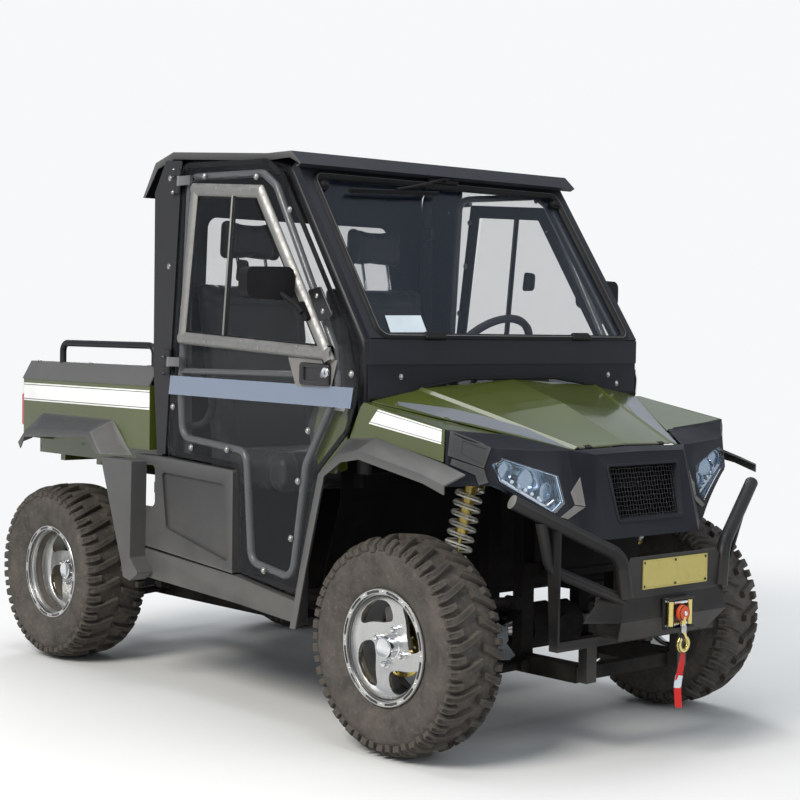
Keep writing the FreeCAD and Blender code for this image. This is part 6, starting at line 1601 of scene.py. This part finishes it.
def make_lamps_inside():
    """Dishes with their bulbs, and the bright shelf under them, inside each headlamp; the dishes carry a blue
    painted sky reflection.
    """
    bm = bmesh.new()
    for _, side in SIDES:
        for x, y, z, radius in LAMP_DISHES:
            centre = Vector((FRONT + x, side * y, z))
            profile = [(-0.006, radius * 1.04), (-0.002, radius * 1.04), (0.0, radius)]
            profile += [(-DISH_DEPTH * (1 - (1 - k / 8) ** 2), radius * (1 - k / 8) + 0.003) for k in range(9)]
            disc(bm, centre, (1, 0, 0), profile, 32)
            disc(bm, centre - Vector((0.026, 0, 0)), (1, 0, 0), ((0, 0.006), (0.012, 0.006), (0.016, 0.003)), 16, 1)
            disc(bm, centre - Vector((0.014, 0, 0)), (1, 0, 0), ((0, 0.0095), (0.002, 0.0095)), 16)
        shelf = [Vector((FRONT + x, side * y, z)) for x, y, z in LAMP_SHELF]
        sweep_tube(bm, smooth_path(shelf, 0.02), 0.0055, 10, 2)
        for k in range(5):
            foot = shelf[1].lerp(shelf[2], 0.15 + 0.15 * k) + Vector((0.002, 0, 0.013))
            disc(bm, foot, (1, 0, 0.1), ((-0.004, 0.0052), (0.0, 0.0052), (0.001, 0.004)), 12, 1)
    add_piece(bm, "headlamp_inside", ("reflector", "lens_white", "chrome"), "chassis", "reflector", smooth=30)


def make_lens_rims():
    """The dark rim laid on each lens's edge."""
    corners = [Vector(corner) for corner in LENS_CORNERS]
    middle = sum(corners, Vector((0, 0))) / len(corners)
    surface = surface_of("headlamp_lenses")
    rings = []
    for share, lift in LENS_RIM:
        ring = []
        for a, b in zip(corners, corners[1:] + corners[:1]):
            for k in range(4):
                p = middle + (a.lerp(b, k / 4) - middle) * share
                hit = surface.ray_cast(Vector((FRONT + 0.6, -p.x, p.y)), Vector((-1, 0, 0)))
                if hit[0] is None:
                    hit = surface.find_nearest(Vector((FRONT + 0.3, -p.x, p.y)))
                ring.append(hit[0] + hit[1] * lift)
        rings.append(ring)
    bm = bmesh.new()
    for side in (-1, 1):
        skin_rings(bm, [[bm.verts.new(p if side < 0 else flip(p)) for p in ring] for ring in rings])
    add_piece(bm, "headlamp_rims", "pinline", "chassis", "lens")


def bumper_trim():
    """The pale caps on the bumper's open tube ends, and the blank plate in its holder."""
    bm = bmesh.new()
    way = (BAR_END[0] - BAR_END[1]).normalized()
    for end, out in ((flip(BAR_END[0]), flip(way)), (BAR_END[0], way)):
        disc(bm, end - out * 0.001, out, ((0, 0.0203), (0.003, 0.0200), (0.0045, 0.0165)), 28)
    add_piece(bm, "bar_caps", "light_grey", "chassis", "nose_plastic")

    def to_space(p, depth):
        return Vector((REACH + 0.0012 + depth, p.x, p.y))

    bm = bmesh.new()
    outline = evenly_rounded(PLATE, 0.003, 3)
    flat_plate(bm, outline, -0.0002, 0.0022, to_space, 0, 0.0006)
    moulding(bm, outline, PLATE_RIM, to_space)
    for y in (-0.138, 0.0, 0.138):
        for z in (0.505, 0.572):
            disc(bm, to_space(Vector((y, z)), 0.0024), (1, 0, 0), round_head(0.0034, 0.0026), 12, 1)
    add_piece(bm, "front_plate", ("plate_gold", "satin_black"), "chassis", "winch")


WINCH_X, WINCH_Z = FRONT + 0.400, 0.425
STOP_PROFILE = ((0.0, 0.020), (0.0012, 0.0228), (0.012, 0.0228), (0.0155, 0.0195), (0.0160, 0.008))
# Ribs round the motor and turns of rope on the drum: count, first y, pitch, look, sides, profile (along, radius)
WINCH_RIBS = (
    (9, -0.131, 0.0085, 0, 40, ((0, 0.0465), (0.0008, 0.0485), (0.0038, 0.0485), (0.0046, 0.0465))),
    (14, -0.0545, 0.0078, 1, 32, ((0, 0.033), (0.0030, 0.0355), (0.0048, 0.0355), (0.0078, 0.033))),
)
# Where the photograph shows the winch's knob, its number of edge points, and radius on and between its teeth
WINCH_KNOB = (604.0, 604.0)
KNOB_POINTS, TOOTH_RADIUS, GAP_RADIUS = 48, 0.0315, 0.0275
# The hook's plane, height and radius, and the thickness of its bar
HOOK_X, HOOK_Z, HOOK_RADIUS, HOOK_BAR = REACH + 0.0353, 0.334, 0.0195, 0.0078
HOOK_SHANK = ((0.0, 0.412), (0.0, 0.372), (0.004, 0.358))
HOOK_LATCH = ((-0.0035, 0.352), (-0.0185, 0.343))
HOOK_COLLAR = ((0, 0.0085), (0.006, 0.0095), (0.018, 0.0095), (0.024, 0.0075))


def make_fairlead():
    """The fairlead's bolts and rollers, and the stop on the rope."""
    bm = bmesh.new()
    for y in (-0.047, 0.047):
        for z in (0.383, 0.459):
            hex_bolt(bm, (WINCH_FACE, y, z), (1, 0, 0), 0.0062, 0.010)
    for y in (-0.042, 0.042):
        disc(bm, (REACH + 0.0213, y, 0.3865), (0, 0, 1), ((0, 0.0090), (0.070, 0.0090)), 24, 1)
    for z in (0.390, 0.452):
        disc(bm, (REACH + 0.0193, -0.030, z), (0, 1, 0), ((0, 0.0070), (0.060, 0.0070)), 20)
    centre = Vector((REACH + 0.0253, 0.0, 0.422))
    disc(bm, centre, (1, 0, 0), STOP_PROFILE, 32, 2)
    disc(bm, centre + Vector((0.0155, 0, 0)), (1, 0, 0), ((0, 0.0075), (0.004, 0.007), (0.006, 0.004)), 18)
    add_piece(bm, "fairlead", ("chrome", "brass", "orange"), "chassis", "winch")


def make_winch_parts():
    """The motor's ribs, the rope on its drum, and the gear housing with its toothed knob."""
    bm = bmesh.new()
    for count, first, pitch, look, sides, profile in WINCH_RIBS:
        for k in range(count):
            disc(bm, (WINCH_X, first + pitch * k, WINCH_Z), (0, 1, 0), profile, sides, look)
    add_piece(bm, "winch_ribs", ("cast", "webbing"), "chassis", "winch")

    bm = bmesh.new()
    _, y, z = on_plane(*WINCH_KNOB, 0, WINCH_X)
    out = (0, -1, 0)
    disc(bm, (WINCH_X, -0.1340, WINCH_Z + 0.010), out, ((0, 0.040), (0.004, 0.044), (0.046, 0.044), (0.050, 0.040)),
         36, 1)
    disc(bm, (WINCH_X, -0.1800, z), out, ((0, 0.022), (-0.1790 - y, 0.022)), 28)
    teeth = []
    for k in range(KNOB_POINTS):
        radius, a = TOOTH_RADIUS if k % 4 < 2 else GAP_RADIUS, math.tau * k / KNOB_POINTS
        teeth.append((WINCH_X + radius * math.cos(a), z + radius * math.sin(a)))
    closed_skin(bm, [[bm.verts.new((u, at, v)) for u, v in teeth] for at in (y, y - 0.0055)])
    disc(bm, (WINCH_X, y - 0.0053, z), out, ((0, 0.010), (0.003, 0.009), (0.003, 0.0004)), 20, 1)
    add_piece(bm, "winch_knob", ("steel", "satin_black"), "chassis", "winch")


def make_hook():
    """The tow hook on its shank, with collar and latch."""
    bm = bmesh.new()
    turn = [math.radians(a) for a in range(70, -231, -15)]
    bend = [(HOOK_RADIUS * math.cos(a), HOOK_Z + HOOK_RADIUS * math.sin(a)) for a in turn]
    sweep_tube(bm, [Vector((HOOK_X, y, z)) for y, z in (*HOOK_SHANK, *bend)], HOOK_BAR, 12)
    disc(bm, (HOOK_X, 0, 0.366), (0, 0, 1), HOOK_COLLAR, 18, 1)
    sweep_tube(bm, [Vector((HOOK_X, y, z)) for y, z in HOOK_LATCH], 0.0022, 8, 1)
    add_piece(bm, "tow_hook", ("brass", "steel"), "chassis", "winch")


STRAP_WIDTH = 0.020
STRAP_TWIST = 1.15
# How the strap hangs: x past the hook's plane, y, z
STRAP_LINE = ((0.0, 0.000, 0.3072), (-0.002, 0.001, 0.285), (-0.007, -0.003, 0.245), (-0.010, -0.008, 0.215),
              (-0.004, -0.012, 0.182), (-0.001, -0.012, 0.152))
TAG_LOW, TAG_TOP = 0.205, 0.245


def make_strap():
    """The red pull strap, a little twisted, with its blank white tag."""
    line = smooth_path([(HOOK_X + x, y, z) for x, y, z in STRAP_LINE], None, 5)

    def across(share):
        return Vector((math.sin(STRAP_TWIST * share), math.cos(STRAP_TWIST * share), 0))

    bm = bmesh.new()
    web_strip(bm, line, STRAP_WIDTH, across, 0.0016)
    strap = add_piece(bm, "pull_strap", "strap_red", "chassis", "strap", ["winch_strap"])
    bm = bmesh.new()
    tag = [p for p in line if TAG_LOW < p.z < TAG_TOP]
    web_strip(bm, tag, STRAP_WIDTH + 0.0008, lambda share: across(0.6), 0.0026)
    label = add_piece(bm, "strap_tag", "paper", "chassis", "strap")


make_grille()
make_cooler()
make_lamps_inside()
make_lens_rims()
bumper_trim()
make_fairlead()
make_winch_parts()
make_hook()
make_strap()


# Tail, bed and mirrors

# The tail lamps' ribs: |y| from and to, lowest z, pitch, height, and which of them are amber
RIB_SPAN, RIB_FOOT, RIB_PITCH, RIB_HEIGHT, RIBS, AMBER_RIBS = (0.573, 0.625), 0.8555, 0.0145, 0.0115, 7, (2, 3)
BED_BOLTS = (-0.150, 0.200, 0.560)
# The mirror's glass: low and high edge, how far it stays inside the shell, and its corners' radius
GLASS_LOW, GLASS_HIGH, GLASS_INSET, GLASS_RADIUS = 1.312, 1.388, 0.012, 0.018
# Where the photograph shows the plate that holds the mirror's arm, and where its bolts stand along it
MIRROR_CLAMP = ((308.0, 290.0), (321.0, 286.5), (333.5, 316.0), (319.5, 321.5))
CLAMP_BOLTS = (0.25, 0.75)


def tail_trim():
    """Ribs on the tail lamps, and the bolts of the bed's caps."""
    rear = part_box("tail_lamps")[0][0]
    bm = bmesh.new()
    for _, side in SIDES:
        inner, outer = sorted(side * y for y in RIB_SPAN)
        for k in range(RIBS):
            z = RIB_FOOT + RIB_PITCH * k
            box_mesh(bm, (rear - 0.0016, inner, z), (rear + 0.0008, outer, z + RIB_HEIGHT), int(k in AMBER_RIBS))
    add_piece(bm, "tail_lamp_ribs", ("lamp_red", "amber"), "bed", "lamp_red")
    bm = bmesh.new()
    for _, side in SIDES:
        for x in BED_BOLTS:
            disc(bm, (REAR + x, side * 0.598, 1.081), (0, 0, 1), round_head(0.0075, 0.0045), 14)
    add_piece(bm, "bed_cap_bolts", "zinc", "bed", "grey_plastic")


def mirror_glass(name):
    """The glass at the back of a mirror's shell."""
    low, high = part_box(f"door_{name}_mirror")
    y0, y1 = low[1] + GLASS_INSET, high[1] - GLASS_INSET
    corners = ((y0, GLASS_LOW), (y1, GLASS_LOW), (y1, GLASS_HIGH), (y0, GLASS_HIGH))
    bm = bmesh.new()
    flat_plate(bm, evenly_rounded(corners, GLASS_RADIUS, 5), -0.0002, 0.0012,
               lambda p, depth: Vector((low[0] - depth, p.x, p.y)), 0, 0.0008)
    add_piece(bm, f"mirror_glass_{name}", "mirror_glass", f"door_{name}", "mirror_shell")


def mirror_clamp(name, side):
    """The black plate and its bolts that hold a mirror's arm on the window's slanted bar."""
    to_space = side_space(side, DOOR_FACE)
    corners = seen_outline(MIRROR_CLAMP, PANE_OUT - 0.018)
    bm = bmesh.new()
    flat_plate(bm, evenly_rounded(corners, 0.006, 3), 0.0160, 0.0215, to_space, 0, 0.0012)
    for along in CLAMP_BOLTS:
        p = corners[0].lerp(corners[3], along).lerp(corners[1].lerp(corners[2], along), 0.5)
        disc(bm, to_space(p, 0.0212), (0, side, 0), round_head(0.0065, 0.0045), 16, 1)
    add_piece(bm, f"mirror_clamp_{name}", ("satin_black", "zinc"), "door_" + name, "mirror_shell")


tail_trim()
for door_name, door_side in SIDES:
    mirror_glass(door_name)
    mirror_clamp(door_name, door_side)


# The frame's own panels, springs and guards

EDGE_RADII = (
    (0.0035, ("nose", "front_flares", "bed_flares", "flare_legs", "rocker_panels", "side_panels", "bed_caps")),
    (0.0018, ("hood", "front_fenders", "bed_box", "tailgate", "screen_frame", "roof", "rear_wall", "tail_lamps")),
    (0.0060, ("dash", "door_left_mirror", "door_right_mirror")),
    (0.0022, ("front_bumper", "frame_front", "chassis_frame", "frame_rear", "winch", "door_hinges", "hitch",
              "drivetrain")),
)
SIDE_FACE = 0.35
SPRING_SWELL = 0.0028
# Where the photograph shows the pale guard on the frame's rail
GUARD = ((497.0, 622.0), (507.5, 629.0), (508.5, 640.0), (506.5, 643.0), (515.5, 655.0), (512.0, 660.0),
         (499.0, 660.0))
GUARD_Y = 0.2302


def round_panels():
    """Joins each panel's flat faces and rounds its sharp edges."""
    for radius, names in EDGE_RADII:
        for name in names:
            flat = NODES[name].modifiers.new("flat", "DECIMATE")
            flat.decimate_type = "DISSOLVE"
            flat.angle_limit = math.radians(0.5)
            bevelled(NODES[name], radius, 3, 25)


def grey_roof_sides():
    """The roof's side faces have the grey plastic of the flares; its other faces keep the navy painted shade and
    sky reflection.
    """
    mesh = NODES["roof"].data
    mesh.materials.append(LOOKS["charcoal"])
    for face in mesh.polygons:
        if abs(face.normal.y) > SIDE_FACE:
            face.material_index = len(mesh.materials) - 1


def thicken_springs():
    """Brings the coils up to the thickness of the painted wire."""
    swell = NODES["springs"].modifiers.new("swell", "DISPLACE")
    swell.strength = SPRING_SWELL
    swell.mid_level = 0.0


def frame_guards():
    """The pale stone guards that stand on the frame's front rails, inside the wheels."""
    corners = seen_outline(GUARD, -GUARD_Y)
    bm = bmesh.new()
    for _, side in SIDES:
        flat_plate(bm, evenly_rounded(corners, 0.003, 2), 0.0, 0.0025, side_space(side, GUARD_Y))
    add_piece(bm, "frame_guards", "guard_grey", "chassis", "frame_paint")


round_panels()
grey_roof_sides()
thicken_springs()
frame_guards()
